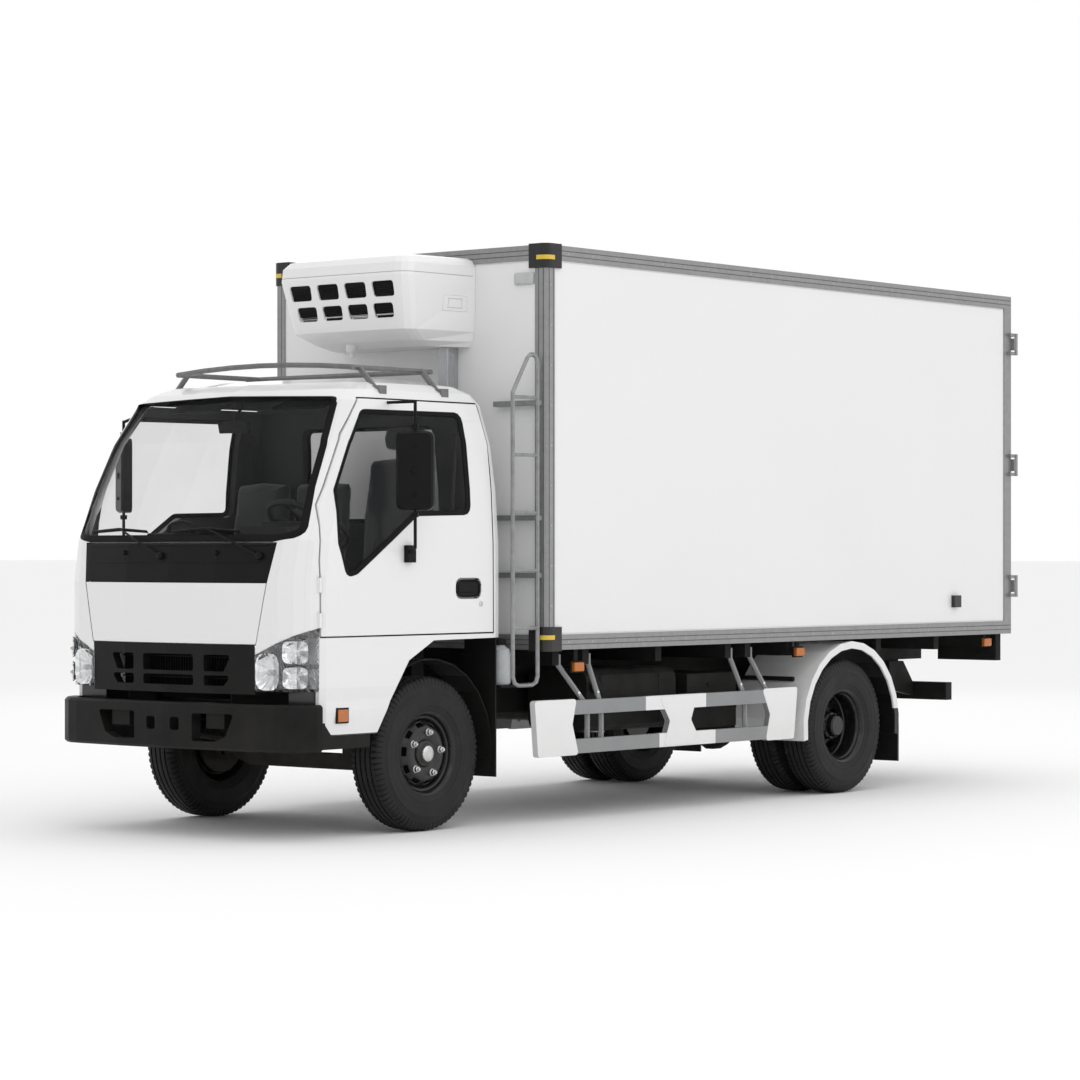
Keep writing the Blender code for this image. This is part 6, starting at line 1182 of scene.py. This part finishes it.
shape = bmesh.new()
block(shape, (0.39, -0.6, 1.452), (0.3, 0.03, 0.085), -28, "X")
for x in (-0.17, -0.06, 0.05):
    block(shape, (x, -0.5, 1.33), (0.09, 0.02, 0.045))
block(shape, (-0.44, -0.53, 1.3), (0.36, 0.012, 0.15))
for x in (-0.68, -0.25, 0.18, 0.66):
    block(shape, (x, -0.555, 1.385), (0.1, 0.016, 0.04))
piece("dash_details", shape, TRIM, bevel=0.004)
shape = bmesh.new()
arch = [(x, -0.745, z) for x, z in mm((-235, 1425), (-225, 1475), (-150, 1497), (-75, 1475), (-65, 1425))]
tube(shape, curve(arch, 5), 0.013, 10, flat=0.6)
box(shape, (-0.33, -0.8, 1.424), (0.03, -0.69, 1.44))
piece("dash_tray", shape, TRIM, bevel=0.006)
shape = bmesh.new()
block(shape, (0.0, -0.53, 1.955), (0.2, 0.026, 0.056), 14, "X")
tube(shape, mm((0, -530, 1960), (0, -520, 2010), (0, -470, 2060)), 0.008, 8)
for x in (-0.36, 0.36):
    block(shape, (x, -0.42, 2.058), (0.34, 0.11, 0.014), 20, "X")
piece("inner_mirror_and_visors", shape, TRIM, bevel=0.006)
shape = bmesh.new()
tube(shape, curve(mm((100, -420, 1020), (100, -380, 1130), (110, -360, 1240)), 5), 0.008, 10)
knob = mm((14, 0), (24, 14), (26, 32), (18, 50), (6, 55))
boot = mm((60, 0), (50, 20), (26, 50), (12, 70))
discs(shape, (0.11, -0.36, 1.232), (0.0, 0.1, 1.0), knob, 18)
discs(shape, (0.1, -0.43, 0.985), (0.0, 0.1, 1.0), boot, 18)
for x in (0.29, 0.39, 0.48):
    block(shape, (x, -0.7, 0.9), (0.055, 0.016, 0.075), 25, "X")
    tube(shape, [(x, -0.708, 0.92), (x, -0.745, 1.06)], 0.007, 8)
piece("gear_lever_and_pedals", shape, TRIM, bevel=0.002)
shape = bmesh.new()
column = (0.0, 0.52992, 0.84805)
boss = mm((64, -10), (70, 2), (66, 14), (52, 22), (20, 25))
discs(shape, (0.39, -0.42, 1.48), column, boss, 32)
piece("steering_pad", shape, DASH, "steering_wheel")
shape = bmesh.new()
for side in (1, -1):
    belt = [(side * 0.7, 0.3, 1.93), (side * 0.68, 0.29, 1.5), (side * 0.67, 0.25, 1.08)]
    tube(shape, curve(belt), 0.023, 8, flat=0.08)
piece("seat_belts", shape, BELT)


# Seats: each cushion is inflated in a cloth simulation, with its seams laid on after

CLOTH_FRAMES = 20
BACK_FOOT = 1.19
BACK_Y = 0.225


def settle(made):
    """Applies an object's modifiers to its mesh."""
    bpy.context.view_layer.update()
    graph = bpy.context.evaluated_depsgraph_get()
    result = bpy.data.meshes.new_from_object(made.evaluated_get(graph))
    made.modifiers.clear()
    made.data = result


def inflate(made, cap):
    """Blows an object up as cloth, each vertex moving no further than the cap."""
    start = [vert.co.copy() for vert in made.data.vertices]
    cloth = made.modifiers.new("cloth", "CLOTH")
    cloth.settings.use_pressure = True
    cloth.settings.uniform_pressure_force = 4.0
    cloth.settings.effector_weights.gravity = 0.0
    cloth.settings.quality = 4
    for number in range(1, CLOTH_FRAMES + 1):
        bpy.context.scene.frame_set(number)
    settle(made)
    bpy.context.scene.frame_set(1)
    for vert, origin in zip(made.data.vertices, start):
        move = vert.co - origin
        if move.length > cap:
            vert.co = origin + move.normalized() * cap


def pad(name, centre, size, lean, cap):
    """A crowned cushion whose sides pull in, inflated by cloth and capped in how far it may swell."""
    shape = bmesh.new()
    bmesh.ops.create_cube(shape, size=1.0)
    bmesh.ops.subdivide_edges(shape, edges=shape.edges, cuts=7, use_grid_fill=True)
    for vert in shape.verts:
        p = vert.co * 2.0
        pinch = 1.0 - 0.05 * (abs(p.x * p.y) + abs(p.y * p.z) + abs(p.x * p.z))
        vert.co = Vector((p.x * pinch * size[0] / 2, p.y * pinch * size[1] / 2, p.z * pinch * size[2] / 2))
    spin = Matrix.Rotation(math.radians(lean), 3, "X")
    bmesh.ops.rotate(shape, verts=shape.verts, cent=(0, 0, 0), matrix=spin)
    bmesh.ops.translate(shape, verts=shape.verts, vec=centre)
    made = piece(name, shape, CLOTH, angle=180.0)
    remesh = made.modifiers.new("remesh", "REMESH")
    remesh.mode = "VOXEL"
    remesh.voxel_size = 0.008
    settle(made)
    inflate(made, cap)
    relax = made.modifiers.new("relax", "SMOOTH")
    relax.iterations = 4
    relax.factor = 0.5
    settle(made)
    finish_mesh(made.data, CLOTH, 180.0)
    return made


def seat(node, centre_x, width, back_top, parts):
    """A cushion and leaning backs on a dark base, for one CAD seat."""
    low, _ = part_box(node)
    cushion = pad(node + "_cushion", (centre_x, -0.11, 1.15), (width - 0.06, 0.39, 0.105), 3, 0.02)
    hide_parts(node)
    tall = back_top - BACK_FOOT
    middle_z = BACK_FOOT + tall / 2
    for index, (across, wide) in enumerate(parts):
        pad("%s_back_%d" % (node, index), (across, BACK_Y, middle_z), (wide, 0.08, tall - 0.035), -7, 0.016)
        shape = bmesh.new()
        for share in (-0.22, 0.22):
            heights = [step / 10 - 0.42 for step in range(9)]
            line = [(across + wide * share, BACK_Y + z * 0.122 - 0.045, middle_z + z * tall) for z in heights]
            tube(shape, line, 0.0035, 6)
        piece("%s_piping_%d" % (node, index), shape, BELT)
    shape = bmesh.new()
    box(shape, (centre_x - width / 2 + 0.03, low.y - AXLE_Y + 0.05, low.z + 0.001),
        (centre_x + width / 2 - 0.03, 0.29, 1.095))
    piece(node + "_base", shape, DASH, bevel=0.012)


seat("driver_seat", 0.39, 0.52, 1.855, ((0.39, 0.45),))
seat("passenger_seat", -0.35, 0.84, 1.74, mm((-560, 380), (-140, 380)))
pad("driver_headrest", (0.39, 0.275, 1.912), (0.24, 0.075, 0.11), -4, 0.008)


# Below: washer bottle, tank straps, battery cover and brake lines

shape = bmesh.new()
bottle = mm((50, 0), (56, 12), (56, 150), (50, 175), (30, 190), (26, 200))
discs(shape, (0.76, 0.56, 0.69), (0, 0, 1), bottle, 24)
piece("washer_bottle", shape, BOTTLE)
shape = bmesh.new()
discs(shape, (0.76, 0.56, 0.888), (0, 0, 1), mm((34, 0), (34, 26), (28, 32)), 20)
box(shape, (0.7, 0.5, 0.676), (0.82, 0.62, 0.69))
box(shape, (0.35, 0.545, 0.676), (0.705, 0.575, 0.684))
piece("washer_bottle_bracket", shape, BLACK, bevel=0.002)
shape = bmesh.new()
for y in (1.33, 1.82):
    box(shape, (0.7985, y - 0.018, 0.46), (0.8015, y + 0.018, 0.71))
discs(shape, (0.8, 1.26, 0.66), (1, 0, 0), mm((36, -4), (36, 16), (30, 22)), 24)
box(shape, (0.7985, 2.07, 0.5), (0.803, 2.47, 0.512))
block(shape, (0.803, 2.27, 0.64), (0.01, 0.08, 0.02))
piece("tank_and_battery_fittings", shape, BLACK, bevel=0.002)
shape = bmesh.new()
for side, y, z, run in ((1, 0.52, 0.64, 0.9), (-1, 0.52, 0.64, 0.9), (1, 1.2, 0.61, 2.0)):
    line = [(side * 0.338, y + run * t / 6, z + 0.008 * math.sin(t * 2.1)) for t in range(7)]
    tube(shape, curve(line, 4), 0.007, 8)
piece("brake_lines", shape, RUBBER)


# Camera, lights and floor

def aim(thing, target):
    thing.rotation_mode = "QUATERNION"
    thing.rotation_quaternion = (Vector(target) - thing.location).to_track_quat("-Z", "Y")


def area_light(name, spot, target, size, power):
    light = bpy.data.lights.new(name, "AREA")
    light.shape = "RECTANGLE"
    light.size, light.size_y = size
    light.energy = power
    made = bpy.data.objects.new(name, light)
    bpy.context.scene.collection.objects.link(made)
    made.location = spot
    aim(made, target)


area_light("key", (9.0, -9.0, 9.5), (0.0, -0.5, 1.2), (9.0, 7.0), 150.0)
area_light("side_fill", (13.0, 3.0, 5.0), (0.9, 0.6, 1.5), (9.0, 6.0), 90.0)
area_light("front_fill", (-3.0, -12.5, 4.5), (0.0, -2.5, 1.3), (9.0, 5.0), 5.0)
area_light("top", (0.0, 0.0, 10.0), (0.0, 0.0, 1.0), (12.0, 10.0), 120.0)
area_light("back", (-8.0, 10.0, 6.0), (0.0, 0.0, 1.5), (8.0, 6.0), 60.0)

# The world is white behind the truck and a little darker towards the viewer
world = bpy.data.worlds.new("studio")
world.use_nodes = True
sky = world.node_tree.nodes
links = world.node_tree.links
ahead = sky.new("ShaderNodeSeparateXYZ")
fade = sky.new("ShaderNodeMapRange")
for name, value in (("From Min", -0.9), ("From Max", 0.4), ("To Min", 0.74), ("To Max", 1.0)):
    fade.inputs[name].default_value = value
links.new(sky.new("ShaderNodeTexCoord").outputs["Generated"], ahead.inputs["Vector"])
links.new(ahead.outputs["Y"], fade.inputs["Value"])
links.new(fade.outputs[0], sky["Background"].inputs["Strength"])
sky["Background"].inputs["Color"].default_value = (1.0, 1.0, 1.0, 1.0)
bpy.context.scene.world = world

shape = bmesh.new()
bmesh.ops.create_grid(shape, x_segments=2, y_segments=2, size=400.0)
mesh = bpy.data.meshes.new("floor")
shape.to_mesh(mesh)
shape.free()
mesh.materials.append(FLOOR)
floor = bpy.data.objects.new("floor", mesh)
bpy.context.scene.collection.objects.link(floor)
floor.location.z = -0.0005

camera = bpy.data.cameras.new("camera")
camera.sensor_width = 36.0
camera.lens = 109.87
camera.shift_x = -0.0474
camera.shift_y = 0.0111
camera.clip_end = 1200.0
eye = bpy.data.objects.new("camera", camera)
bpy.context.scene.collection.objects.link(eye)
eye.location = (11.369, -11.922 + AXLE_Y, 1.349)
aim(eye, Vector(eye.location) + Vector((-0.6262, 0.7797, 0.0)))
bpy.context.scene.camera = eye
bpy.context.scene.view_settings.view_transform = "Standard"
